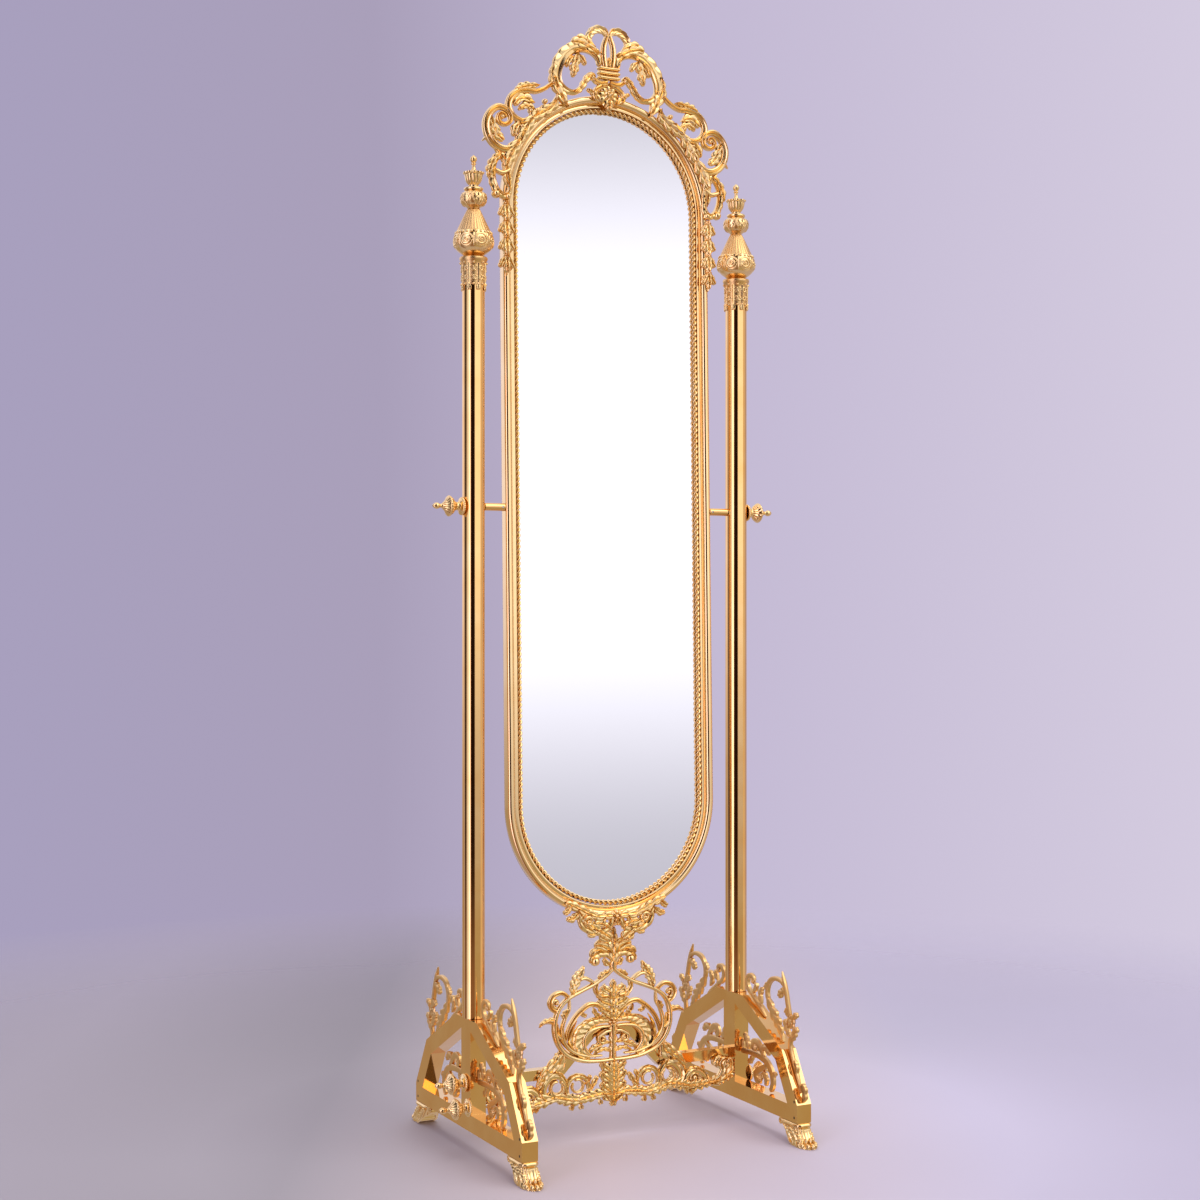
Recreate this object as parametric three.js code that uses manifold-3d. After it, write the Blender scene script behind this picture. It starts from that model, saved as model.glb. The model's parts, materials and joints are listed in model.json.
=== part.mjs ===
// Cheval floor mirror. Millimetres, +Z up, +X to the right, the front faces -Y.
// The origin is on the floor, in the middle of the footprint.

import * as THREE from 'three';
import { mergeVertices } from 'three/addons/utils/BufferGeometryUtils.js';
import Module from 'manifold-3d';

const wasm = await Module();
wasm.setup();

// Driving dimensions.
const GAP = 0.35;
const POST_X = 253;
const POST_R = 19;
const POST_WALL = 2;
const POST_TOP = 1476;
const PIVOT_Z = 1069;
const LEAN_BACK = 1.2;
const GLASS_R = 168;
const ARC_LOW_Z = 569;
const ARC_HIGH_Z = 1583;
const FRAME_R = 197;
const FRAME_FRONT_Y = -9;
const FRAME_BACK_Y = 13;
const GLASS_Y = 5;
const GLASS_THICK = 5;
const CREST_FRONT_Y = -17.3;
const CREST_THICK = 8;
const BAR = 28;
const BAR_LOW_Z = 38;
const BAR_END_Y = 221;
const LEG_FOOT_Z = 69;
const SHOULDER_Y = 173;
const SHOULDER_Z = 153;
const APEX_Y = 44;
const APEX_Z = 222;
const UPRIGHT_HALF = 19;
const STRETCHER_Y = 2;
const STRETCHER_Z = 115;
const STRETCHER_RISE = 63;
const STRETCHER_SIDE = 18;
const APRON_FRONT_Y = -19.3;
const APRON_THICK = 8;
const GARLAND_END_Z = 78;
const LEAF_THICK = 3.2;
const VINE_THICK = 10;
const SCROLL_THICK = 8;
const SLEEVE_R = 6.5;
const PIN_R = 4;
const PIN_START = 186;
const PIN_END = 300;
const TIE_R = 2.5;
const BORE_PLAY = 0.3;
const SCREW_R = 1.5;
const SCREW_X = 202;
const ROUND = 20;

// Finishes.
function finish(colour, roughness, metalness) {
  return new THREE.MeshStandardMaterial({ color: colour, roughness, metalness });
}

const POLISHED = finish(0xd9a441, 0.12, 1);
const CAST = finish(0xd19a3e, 0.3, 1);
const SILVERED = finish(0xdcdfe8, 0.03, 1);
const BOARD = finish(0x4a3524, 0.8, 0);
const STEEL = finish(0x8d8f92, 0.35, 1);

// The stand is upright. The mirror hangs in it on its pivot pins and leans back a little.
const stand = new THREE.Group();
const mirror = new THREE.Group();
mirror.position.z = -PIVOT_Z;
const leaning = new THREE.Group();
leaning.position.z = PIVOT_Z;
leaning.rotation.x = -THREE.MathUtils.degToRad(LEAN_BACK);
leaning.add(mirror);
const object = new THREE.Group();
object.add(stand, leaning);

function addPiece(group, name, geometry, material) {
  const mesh = new THREE.Mesh(geometry, material);
  mesh.name = name;
  group.add(mesh);
}

// Solids and booleans.
function toSolid(geometry) {
  const bare = geometry.clone();
  bare.deleteAttribute('normal');
  bare.deleteAttribute('uv');
  const merged = mergeVertices(bare, 1e-3);
  return new wasm.Manifold(new wasm.Mesh({
    numProp: 3,
    vertProperties: new Float32Array(merged.attributes.position.array),
    triVerts: new Uint32Array(merged.index.array),
  }));
}

function toGeometry(solid) {
  const mesh = solid.getMesh();
  const geometry = new THREE.BufferGeometry();
  geometry.setAttribute('position', new THREE.BufferAttribute(mesh.vertProperties, 3));
  geometry.setIndex(new THREE.BufferAttribute(mesh.triVerts, 1));
  geometry.computeVertexNormals();
  return geometry;
}

function join(geometries) {
  return geometries.map(toSolid).reduce((sum, solid) => sum.add(solid));
}

function drill(geometry, bores) {
  return toGeometry(bores.map(toSolid).reduce((left, bore) => left.subtract(bore), toSolid(geometry)));
}

// A cylinder along X from x0 to x1.
function rodX(x0, x1, radius, y, z, segments = 12) {
  const geometry = new THREE.CylinderGeometry(radius, radius, Math.abs(x1 - x0), segments);
  return geometry.rotateZ(Math.PI / 2).translate((x0 + x1) / 2, y, z);
}

// A turned piece about +Z: profile points are [radius, height].
function turned(profile, segments) {
  const points = profile.map(([radius, height]) => new THREE.Vector2(radius, height));
  return new THREE.LatheGeometry(points, segments).rotateX(Math.PI / 2);
}

// Flat castings are drawn in a plane with u across and v up. An outline turned into a plate lies in
// the X-Z plane from yFront backwards, or in the Y-Z plane centred on an X.
function plate(outline, yFront, thick) {
  const shape = new THREE.Shape(outline.map(([u, v]) => new THREE.Vector2(u, v)));
  const geometry = new THREE.ExtrudeGeometry(shape, { depth: thick, bevelEnabled: false });
  return geometry.rotateX(Math.PI / 2).translate(0, yFront + thick, 0);
}

function turnToSide(solidGeometry, x, frontSign) {
  return solidGeometry.rotateZ(frontSign * -Math.PI / 2).translate(x, 0, 0);
}

// A tapering band along a smooth curve through points [u, v, half width].
function band(points, steps) {
  const spine = new THREE.CatmullRomCurve3(points.map((point) => new THREE.Vector3(...point)));
  const outline = [];
  const back = [];
  for (let step = 0; step <= steps; step += 1) {
    const point = spine.getPoint(step / steps);
    const along = spine.getTangent(step / steps);
    const length = Math.hypot(along.x, along.y);
    const across = [-along.y / length * point.z, along.x / length * point.z];
    outline.push([point.x + across[0], point.y + across[1]]);
    back.unshift([point.x - across[0], point.y - across[1]]);
  }
  return outline.concat(back);
}

function mirrored(outline) {
  return outline.map(([u, v]) => [-u, v]).reverse();
}

function casting(outlines, yFront, thick) {
  return toGeometry(join(outlines.map((outline) => plate(outline, yFront, thick))));
}

function bothSides(outlines) {
  return outlines.concat(outlines.map(mirrored));
}

// Outline of the glass and everything that follows it: straight sides and two half circles.
function stadium(radius, arcSteps) {
  const outline = [];
  for (let step = 0; step <= arcSteps; step += 1) {
    const angle = Math.PI * step / arcSteps;
    outline.push([radius * Math.cos(angle), ARC_HIGH_Z + radius * Math.sin(angle)]);
  }
  for (let step = 0; step <= arcSteps; step += 1) {
    const angle = Math.PI * (1 + step / arcSteps);
    outline.push([radius * Math.cos(angle), ARC_LOW_Z + radius * Math.sin(angle)]);
  }
  return outline;
}

// A ring of that outline between two radii, with both faces chamfered.
function stadiumRing(inner, outer, y0, y1, chamfer) {
  const shape = new THREE.Shape(stadium(outer - chamfer, ROUND).map(([u, v]) => new THREE.Vector2(u, v)));
  const hole = stadium(inner + chamfer, ROUND).map(([u, v]) => new THREE.Vector2(u, v));
  shape.holes.push(new THREE.Path(hole.reverse()));
  const geometry = new THREE.ExtrudeGeometry(shape, {
    depth: y1 - y0 - 2 * chamfer,
    bevelEnabled: chamfer > 0,
    bevelThickness: chamfer,
    bevelSize: chamfer,
    bevelSegments: 1,
  });
  return geometry.rotateX(Math.PI / 2).translate(0, y1 - chamfer, 0);
}

// Trestle side frames.
const LEG_RUN = BAR_END_Y - SHOULDER_Y;
const LEG_RISE = SHOULDER_Z - LEG_FOOT_Z;
const LEG_LENGTH = Math.hypot(LEG_RUN, LEG_RISE);
const ROOF_RUN = SHOULDER_Y - APEX_Y;
const ROOF_RISE = APEX_Z - SHOULDER_Z;
const ROOF_LENGTH = Math.hypot(ROOF_RUN, ROOF_RISE);

// A point beside the lower leg's outer edge: share 0 at the foot and 1 at the shoulder.
function besideLeg(share, away) {
  const y = BAR_END_Y - LEG_RUN * share + away * LEG_RISE / LEG_LENGTH;
  return [y, LEG_FOOT_Z + LEG_RISE * share + away * LEG_RUN / LEG_LENGTH];
}

// A point above the upper leg's outer edge: share 0 at the shoulder and 1 at the apex.
function aboveRoof(share, away) {
  const y = SHOULDER_Y - ROOF_RUN * share + away * ROOF_RISE / ROOF_LENGTH;
  return [y, SHOULDER_Z + ROOF_RISE * share + away * ROOF_RUN / ROOF_LENGTH];
}

// Where the inside edges of the upper leg and of the lower leg cross, and where they end.
function crossing(a, b, c, d) {
  const [rx, ry] = [b[0] - a[0], b[1] - a[1]];
  const [sx, sy] = [d[0] - c[0], d[1] - c[1]];
  const share = ((c[0] - a[0]) * sy - (c[1] - a[1]) * sx) / (rx * sy - ry * sx);
  return [a[0] + rx * share, a[1] + ry * share];
}

function trestleOpening() {
  const leg = [besideLeg(0, -BAR), besideLeg(1, -BAR)];
  const roof = [aboveRoof(0, -BAR), aboveRoof(1, -BAR)];
  const floor = [[0, BAR_LOW_Z + BAR], [1, BAR_LOW_Z + BAR]];
  const side = [[UPRIGHT_HALF, 0], [UPRIGHT_HALF, 1]];
  return [
    crossing(...floor, ...side),
    crossing(...floor, ...leg),
    crossing(...leg, ...roof),
    crossing(...roof, ...side),
  ];
}

function trestle(x) {
  const half = [[BAR_END_Y, BAR_LOW_Z], [BAR_END_Y, LEG_FOOT_Z], [SHOULDER_Y, SHOULDER_Z], [APEX_Y, APEX_Z]];
  const frame = plate(half.concat(mirrored(half)), -BAR / 2, BAR);
  const openings = bothSides([trestleOpening()]).map((opening) => plate(opening, -BAR, 2 * BAR));
  const reach = [x - BAR, x + BAR];
  return drill(turnToSide(drill(frame, openings), x, 1), [
    rodX(...reach, TIE_R + BORE_PLAY, STRETCHER_Y, STRETCHER_Z),
    rodX(...reach, TIE_R + BORE_PLAY, APRON_FRONT_Y + APRON_THICK / 2, GARLAND_END_Z),
  ]);
}

// Cast foot under a bar end: a collar, a hollow sole and a toe that turns out.
const FOOT_HALF_WIDTH = 18;
const FOOT_TOP = BAR_LOW_Z - GAP;
const footSide = [
  [164, 26], [162, 33], [168, FOOT_TOP], [224, FOOT_TOP], [231, 30], [238, 16], [247, 9],
  [250, 0], [205, 0], [203, 8], [192, 15], [178, 21],
];

// Vine that climbs the outside of the legs; u is the distance from the middle of the trestle.
const VINE_EDGE = 0.6;
const vine = [
  band([[...besideLeg(0.18, 3 + VINE_EDGE), 2], [...besideLeg(0.45, 5 + VINE_EDGE), 5],
    [...besideLeg(0.8, 5 + VINE_EDGE), 4.5], [...besideLeg(1.02, 7), 4], [181, 176, 4]], 5),
  band([[182, 168, 5], [181, 184, 17], [181, 198, 20], [177, 214, 12], [172, 228, 5]], 5),
  band([[174, 220, 5], [168, 244, 6], [157, 266, 1.5]], 4),
  band([[162, 254, 3], [142, 266, 4.5], [120, 263, 5], [107, 246, 5], [110, 228, 5]], 6),
  band([[107, 232, 4], [113, 219, 11], [126, 204, 11], [146, 184, 4]], 5),
  band([[...aboveRoof(-0.02, 5 + VINE_EDGE), 4.5], [...aboveRoof(0.5, 5 + VINE_EDGE), 4.5],
    [...aboveRoof(0.94, 5 + VINE_EDGE), 4.5]], 4),
  band([[62, 226, 4], [46, 232, 5], [40, 246, 5], [50, 258, 5], [62, 256, 3]], 5),
  band([[86, 212, 4], [82, 228, 5], [90, 238, 3]], 3),
];

// Scroll casting that stands on the bottom bar inside an opening and reaches the upright.
const OPENING_LOW = BAR_LOW_Z + BAR + GAP;
const OPENING_SIDE = UPRIGHT_HALF + GAP;
const openingScroll = [
  band([[119, OPENING_LOW + 1.5, 5], [124, 88, 6], [116, 110, 6], [94, 121, 6], [60, 123, 6],
    [OPENING_SIDE + 0.5, 121, 6]], 8),
  band([[96, 122, 5], [84, 138, 6], [70, 148, 6], [60, 140, 5], [66, 132, 4]], 7),
  band([[46, 124, 5], [42, 140, 6], [34, 150, 3]], 3),
  band([[104, 112, 5], [84, 100, 5], [70, 88, 6], [82, 80, 4]], 5),
];

// Apron garland between the uprights.
const GARLAND_REACH = POST_X - BAR / 2 - GAP;
const COLUMN_TOP = 126;
const garland = [
  band([[0, 72, 10], [50, 71, 9], [90, 72, 11], [125, 74, 13], [165, 70, 9], [205, 70, 9],
    [224, 77, 9], [GARLAND_REACH - 1, GARLAND_END_Z, 9]], 12),
  band([[50, 80, 4], [54, 98, 4.5], [69, 106, 5], [84, 98, 4.5], [89, 80, 4.5]], 7),
  band([[52, 78, 4], [40, 86, 5], [34, 97, 5], [43, 104, 3.5]], 5),
  band([[93, 80, 4], [96, 102, 5], [113, 113, 7], [129, 104, 7], [133, 82, 8]], 7),
  band([[143, 74, 7], [150, 90, 7], [166, 94, 7], [180, 84, 6], [186, 72, 6]], 7),
  band([[206, 72, 6], [216, 88, 7], [210, 104, 6], [222, 108, 3]], 5),
  band([[69, 68, 10], [69, 56, 6]], 1),
  band([[142, 70, 12], [152, 57, 6]], 1),
];
const garlandColumn = band([[0, 56, 9], [0, 76, 15], [0, 100, 17], [0, COLUMN_TOP, 18]], 4);

// Apron scroll panel: an oval of scrolls and leaves with a palmette in the middle.
const scrollPanel = [
  band([[0, 131, 4], [32, 130.5, 4], [62, 135, 4.5], [88, 146, 5], [104, 164, 5], [111, 186, 5],
    [110, 206, 5], [103, 224, 4], [86, 240, 4], [60, 252, 4], [36, 262, 4], [16, 273, 4], [0, 284, 4]], 17),
  band([[103, 221, 4], [115, 225, 4], [119, 238, 4.5], [111, 250, 4.5], [97, 253, 4], [84, 242, 4]], 7),
  band([[83, 240, 4], [80, 222, 4], [86, 200, 4.5], [90, 180, 4.5], [84, 160, 4], [66, 143, 4]], 6),
  band([[74, 248, 8], [71, 262, 11], [64, 277, 7], [57, 290, 1.5]], 5),
  band([[36, 262, 3], [48, 270, 4], [64, 272, 5]], 3),
  band([[30, 264, 4], [32, 250, 5], [24, 240, 5], [10, 238, 5]], 4),
  band([[10, 214, 4], [26, 220, 4.5], [43, 226, 5], [59, 220, 4.5], [72, 208, 4], [84, 196, 4]], 6),
  band([[8, 197, 5], [34, 196, 9], [56, 186, 12], [66, 168, 13], [62, 150, 11], [50, 136, 6]], 6),
  band([[2, 180, 4], [16, 178, 4.5], [28, 169, 5], [22, 158, 4.5], [3, 156, 4]], 6),
  band([[2, 141, 4], [20, 146, 5], [38, 150, 2]], 3),
  band([[106, 203, 6], [122, 201, 6], [139, 204, 2]], 3),
];
const panelStem = band([[0, 131, 6], [0, 190, 6]], 1);
const palmette = band([[0, 186, 6], [0, 212, 17], [0, 234, 23], [0, 250, 13], [0, 262, 2]], 6);

// Fleur that stands on the panel and reaches into the notch under the mirror.
const FLEUR_BASE = 290.5;
const fleur = [
  band([[4, 310, 6], [22, 313, 6], [36, 306, 6], [38, 297, 5.5], [28, 293, 4]], 6),
  band([[4, 318, 6], [18, 324, 6], [32, 328, 3.5]], 3),
];
const fleurStem = band([[0, FLEUR_BASE, 6], [0, 306, 15], [0, 320, 15], [0, 331, 7], [0, 343, 4.5],
  [0, 357, 1.5]], 7);

// Acanthus leaf over the mitre of the stretcher.
const mitreLeaf = [band([[139, 115, 9], [124, 116, 12], [110, 121, 14], [100, 134, 12], [94, 151, 3]], 7)];

// Crest castings on the front of the mirror frame.
const crownScrolls = [
  band([[0, 1885, 4], [9, 1892, 4.5], [20, 1895, 5], [31, 1890, 5.5], [35, 1879, 5.5], [29, 1866, 5],
    [16, 1861, 5]], 9),
  band([[2, 1884, 3.5], [9, 1872, 3.5], [14, 1858, 5], [9, 1844, 5], [8, 1828, 5]], 6),
  band([[18, 1858, 6], [40, 1865, 8], [54, 1870, 7], [66, 1864, 3]], 5),
  band([[19, 1824, 4], [22, 1841, 4], [34, 1851, 5.5], [52, 1856, 7], [73, 1849, 8], [91, 1833, 8.5],
    [101, 1811, 8], [98, 1790, 6], [83, 1778, 5], [66, 1776, 4.5], [54, 1786, 4.5], [46, 1800, 5],
    [37, 1811, 5], [28, 1808, 4.5]], 16),
  band([[58, 1848, 4], [61, 1834, 6], [66, 1822, 6], [67, 1807, 2]], 4),
  band([[2, 1802, 6], [20, 1800, 7], [34, 1806, 5]], 3),
  band([[2, 1797, 6], [22, 1793, 6], [38, 1788, 2]], 3),
];
const crownTie = [[-21, 1806], [21, 1806], [21, 1831], [-21, 1831]];
const crownRosette = band([[0, 1808, 12], [0, 1794, 19], [0, 1778, 21], [0, 1763, 15]], 4);

const archScroll = [
  band([[110, 1789, 4], [125, 1777, 4], [141, 1770, 4.5], [156, 1768, 5]], 4),
  band([[152, 1768, 5], [173, 1765, 5], [188, 1750, 5], [187, 1731, 5], [170, 1719, 5], [150, 1722, 5]], 9),
  band([[142, 1731, 5], [152, 1741, 5], [166, 1744, 3]], 3),
  band([[103, 1767, 6], [99, 1754, 9], [112, 1742, 10], [132, 1732, 10], [150, 1712, 10], [166, 1690, 10],
    [182, 1668, 9], [194, 1644, 8]], 9),
  band([[176, 1676, 5], [196, 1667, 5], [219, 1677, 5], [230, 1700, 5], [225, 1724, 5], [209, 1737, 5],
    [193, 1733, 5], [187, 1719, 4.5], [197, 1712, 4]], 13),
  band([[192, 1646, 6], [205, 1655, 5], [217, 1645, 5], [221, 1624, 5], [217, 1601, 5], [204, 1588, 5.5],
    [192, 1592, 5.5], [187, 1608, 5], [190, 1628, 5], [194, 1648, 5]], 12),
  band([[188, 1626, 4], [206, 1621, 5], [219, 1626, 4]], 3),
];

const pendant = [
  band([[194, 1578, 9], [195, 1556, 10], [195, 1530, 12], [194, 1502, 10], [194, 1478, 7],
    [194, 1455, 2]], 8),
];

const bottomOrnament = [
  band([[0, 376, 9], [16, 376, 6], [34, 373, 6], [50, 379, 6], [66, 388, 6], [80, 394, 5], [93, 400, 3]], 8),
  band([[10, 372, 4], [12, 360, 4], [22, 350, 5], [38, 349, 5], [54, 355, 6], [65, 365, 6], [60, 377, 6]], 9),
  band([[68, 388, 5], [80, 381, 5], [90, 375, 2]], 3),
];

// The stretcher is a square bar that rises at 45 degrees to its raised middle.
function stretcherBar() {
  const half = STRETCHER_SIDE / 2;
  const end = POST_X - BAR / 2 - GAP;
  const mitre = half * Math.tan(Math.PI / 8);
  const lowBend = 98;
  const highBend = lowBend - STRETCHER_RISE;
  const high = STRETCHER_Z + STRETCHER_RISE;
  const low = STRETCHER_Z;
  const top = [[end, low + half], [lowBend + mitre, low + half], [highBend + mitre, high + half]];
  const under = [[highBend - mitre, high - half], [lowBend - mitre, low - half], [end, low - half]];
  const outline = [...top, ...mirrored(top), ...mirrored(under), ...under];
  const geometry = plate(outline, STRETCHER_Y - half, STRETCHER_SIDE);
  return drill(geometry, [-1, 1].map((side) => (
    rodX(side * (end - 16), side * (end + 5), TIE_R + BORE_PLAY, STRETCHER_Y, STRETCHER_Z))));
}

function tieBores(y, z) {
  return [-1, 1].map((side) => (
    rodX(side * (GARLAND_REACH - 16), side * (GARLAND_REACH + 5), TIE_R + BORE_PLAY, y, z)));
}

// Knob on a tilt pin or on the end of a tie bolt; the profile starts just off the face it stands on.
const knobProfile = [
  [0, 0], [14, 0], [14.5, 4], [7, 10], [10, 15], [16.5, 23], [15, 28], [6, 36], [3, 40],
  [4.6, 45], [4.6, 49], [0, 54],
];

// Turned finial castings, heights above the floor.
const collarProfile = [
  [POST_R + GAP, 1430], [20.8, 1430], [20.8, 1462], [22.5, 1478], [22.5, 1482], [0, 1482],
  [0, POST_TOP + GAP], [POST_R + GAP, POST_TOP + GAP], [POST_R + GAP, 1430],
];
const pearProfile = [
  [0, 1482.4], [14, 1482.4], [26, 1489], [32, 1497], [32, 1508], [25, 1524], [14, 1541], [8, 1554],
  [7.5, 1560], [0, 1560],
];
const bulbProfile = [[0, 1560.4], [9, 1560.4], [17, 1568], [19.5, 1578], [15, 1588], [14, 1597], [0, 1597]];
const crownProfile = [
  [0, 1597.4], [8, 1597.4], [9, 1601], [13, 1608], [16.5, 1621], [9, 1623], [4.5, 1628], [4, 1635],
  [6.5, 1641], [5, 1646], [0, 1648],
];

for (const [side, sign] of [['left', -1], ['right', 1]]) {
  const x = sign * POST_X;
  const outward = sign * Math.PI / 2;

  addPiece(stand, `${side}_trestle`, trestle(x), POLISHED);
  for (const [end, front] of [['front', 1], ['rear', -1]]) {
    const foot = plate(footSide, -FOOT_HALF_WIDTH, 2 * FOOT_HALF_WIDTH);
    addPiece(stand, `${side}_${end}_foot`, turnToSide(foot, x, front), CAST);
    const climber = casting(vine, -VINE_THICK / 2, VINE_THICK);
    addPiece(stand, `${side}_${end}_vine`, turnToSide(climber, x, front), CAST);
    const scroll = casting(openingScroll, -SCROLL_THICK / 2, SCROLL_THICK);
    addPiece(stand, `${side}_${end}_scroll`, turnToSide(scroll, x, front), CAST);
  }

  const tube = turned([
    [POST_R, APEX_Z + GAP], [POST_R, POST_TOP], [POST_R - POST_WALL, POST_TOP],
    [POST_R - POST_WALL, APEX_Z + GAP], [POST_R, APEX_Z + GAP],
  ], 24).translate(x, 0, 0);
  const crossBore = rodX(x - 2 * POST_R, x + 2 * POST_R, PIN_R + BORE_PLAY, 0, PIVOT_Z);
  addPiece(stand, `${side}_post`, drill(tube, [crossBore]), POLISHED);

  addPiece(stand, `${side}_post_collar`, turned(collarProfile, 24).translate(x, 0, 0), CAST);
  addPiece(stand, `${side}_finial_pear`, turned(pearProfile, 20).translate(x, 0, 0), CAST);
  addPiece(stand, `${side}_finial_bulb`, turned(bulbProfile, 16).translate(x, 0, 0), CAST);
  addPiece(stand, `${side}_finial_crown`, turned(crownProfile, 14).translate(x, 0, 0), CAST);

  const ties = [
    ['stretcher', STRETCHER_Y, STRETCHER_Z],
    ['garland', APRON_FRONT_Y + APRON_THICK / 2, GARLAND_END_Z],
  ];
  for (const [tie, y, z] of ties) {
    const face = POST_X + BAR / 2 + GAP;
    const nut = turned(knobProfile, 16).rotateY(outward).translate(sign * face, y, z);
    const seat = rodX(sign * (face - 2), sign * (face + 10), TIE_R + BORE_PLAY, y, z);
    addPiece(stand, `${side}_${tie}_nut`, drill(nut, [seat]), CAST);
    const bolt = rodX(sign * (GARLAND_REACH - 14), sign * (face + 9), TIE_R, y, z, 10);
    addPiece(stand, `${side}_${tie}_tie_bolt`, bolt, STEEL);
  }

  const pin = rodX(sign * PIN_START, sign * PIN_END, PIN_R, 0, PIVOT_Z);
  addPiece(mirror, `${side}_pivot_pin`, pin, STEEL);
  const sleeve = rodX(sign * (FRAME_R + GAP), sign * (POST_X - POST_R - GAP), SLEEVE_R, 0, PIVOT_Z, 18);
  const sleeveBore = rodX(sign * (FRAME_R - 5), sign * (POST_X - POST_R + 5), PIN_R + BORE_PLAY, 0, PIVOT_Z);
  const screwBore = new THREE.CylinderGeometry(SCREW_R + BORE_PLAY, SCREW_R + BORE_PLAY, 2 * SLEEVE_R, 8);
  screwBore.translate(sign * SCREW_X, -SLEEVE_R, PIVOT_Z);
  addPiece(mirror, `${side}_pivot_sleeve`, drill(sleeve, [sleeveBore, screwBore]), POLISHED);
  const screw = new THREE.CylinderGeometry(SCREW_R, SCREW_R, 1.6, 8);
  screw.translate(sign * SCREW_X, -PIN_R - GAP - 0.8, PIVOT_Z);
  addPiece(mirror, `${side}_set_screw`, screw, STEEL);

  const knobFace = sign * (POST_X + POST_R + GAP);
  const knob = turned(knobProfile, 16).rotateY(outward).translate(knobFace, 0, PIVOT_Z);
  const knobBore = rodX(knobFace - sign * 2, sign * (PIN_END + 1), PIN_R + BORE_PLAY, 0, PIVOT_Z);
  addPiece(mirror, `${side}_pivot_knob`, drill(knob, [knobBore]), CAST);
}

// Stretcher and apron.
addPiece(stand, 'stretcher_bar', stretcherBar(), POLISHED);
const leafFront = STRETCHER_Y - STRETCHER_SIDE / 2 - GAP - LEAF_THICK;
addPiece(stand, 'right_stretcher_leaf', casting(mitreLeaf, leafFront, LEAF_THICK), CAST);
addPiece(stand, 'left_stretcher_leaf', casting(mitreLeaf.map(mirrored), leafFront, LEAF_THICK), CAST);

const garlandPlate = casting(bothSides(garland).concat([garlandColumn]), APRON_FRONT_Y, APRON_THICK);
const garlandBores = tieBores(APRON_FRONT_Y + APRON_THICK / 2, GARLAND_END_Z);
addPiece(stand, 'apron_garland', drill(garlandPlate, garlandBores), CAST);
const panelOutlines = bothSides(scrollPanel).concat([panelStem, palmette]);
addPiece(stand, 'apron_scroll_panel', casting(panelOutlines, APRON_FRONT_Y, APRON_THICK), CAST);
const fleurOutlines = bothSides(fleur).concat([fleurStem]);
addPiece(stand, 'apron_fleur', casting(fleurOutlines, APRON_FRONT_Y, APRON_THICK), CAST);

// Mirror: the outer moulding and the cove are one frame, with a rebate for the glass behind the rope.
const COVE_R = 186;
const REBATE_R = 174;
const outerMoulding = stadiumRing(COVE_R - 3, FRAME_R, FRAME_FRONT_Y, FRAME_BACK_Y, 3);
const cove = stadiumRing(REBATE_R + 2, COVE_R, GLASS_Y - 7, FRAME_BACK_Y, 0);
const pinBores = [-1, 1].map((side) => (
  rodX(side * (PIN_START - 1), side * (FRAME_R + 5), PIN_R + BORE_PLAY, 0, PIVOT_Z)));
addPiece(mirror, 'mirror_frame', drill(toGeometry(join([outerMoulding, cove])), pinBores), POLISHED);
addPiece(mirror, 'rope_trim', stadiumRing(GLASS_R, REBATE_R + 1.5, GLASS_Y - 7, GLASS_Y - GAP, 1.5), CAST);
addPiece(mirror, 'mirror_glass', plate(stadium(REBATE_R + 1, ROUND), GLASS_Y, GLASS_THICK), SILVERED);
const BOARD_Y = GLASS_Y + GLASS_THICK + GAP;
addPiece(mirror, 'back_panel', plate(stadium(REBATE_R + 1, ROUND), BOARD_Y, FRAME_BACK_Y - BOARD_Y), BOARD);

const crownOutlines = bothSides(crownScrolls).concat([crownTie, crownRosette]);
addPiece(mirror, 'crest_crown', casting(crownOutlines, CREST_FRONT_Y, CREST_THICK), CAST);
addPiece(mirror, 'crest_right_scroll', casting(archScroll, CREST_FRONT_Y, CREST_THICK), CAST);
addPiece(mirror, 'crest_left_scroll', casting(archScroll.map(mirrored), CREST_FRONT_Y, CREST_THICK), CAST);
addPiece(mirror, 'right_pendant', casting(pendant, CREST_FRONT_Y, CREST_THICK), CAST);
addPiece(mirror, 'left_pendant', casting(pendant.map(mirrored), CREST_FRONT_Y, CREST_THICK), CAST);
addPiece(mirror, 'bottom_ornament', casting(bothSides(bottomOrnament), CREST_FRONT_Y, CREST_THICK), CAST);

export default object;
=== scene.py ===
import json
import math

import bmesh
import bpy
import numpy as np
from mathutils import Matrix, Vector


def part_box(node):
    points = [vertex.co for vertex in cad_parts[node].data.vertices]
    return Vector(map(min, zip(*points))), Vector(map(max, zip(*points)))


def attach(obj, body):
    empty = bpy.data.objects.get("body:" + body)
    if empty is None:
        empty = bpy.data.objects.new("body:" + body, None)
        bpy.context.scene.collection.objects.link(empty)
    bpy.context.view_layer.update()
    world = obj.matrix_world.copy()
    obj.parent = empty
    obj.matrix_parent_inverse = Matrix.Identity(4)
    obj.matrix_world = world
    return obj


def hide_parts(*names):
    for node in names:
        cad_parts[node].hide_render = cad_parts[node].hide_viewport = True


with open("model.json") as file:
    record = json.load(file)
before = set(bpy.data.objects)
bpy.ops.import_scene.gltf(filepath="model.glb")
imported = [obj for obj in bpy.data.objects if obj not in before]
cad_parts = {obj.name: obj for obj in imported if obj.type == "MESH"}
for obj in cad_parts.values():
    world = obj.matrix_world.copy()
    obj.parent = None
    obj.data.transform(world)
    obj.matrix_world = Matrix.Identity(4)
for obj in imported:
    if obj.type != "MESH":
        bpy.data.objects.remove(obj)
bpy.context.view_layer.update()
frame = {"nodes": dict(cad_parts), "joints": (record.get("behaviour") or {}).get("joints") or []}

# The script works in millimetres and in the CAD frame: +X right, -Y front, +Z up, floor at Z = 0.
MM = 0.001


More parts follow.
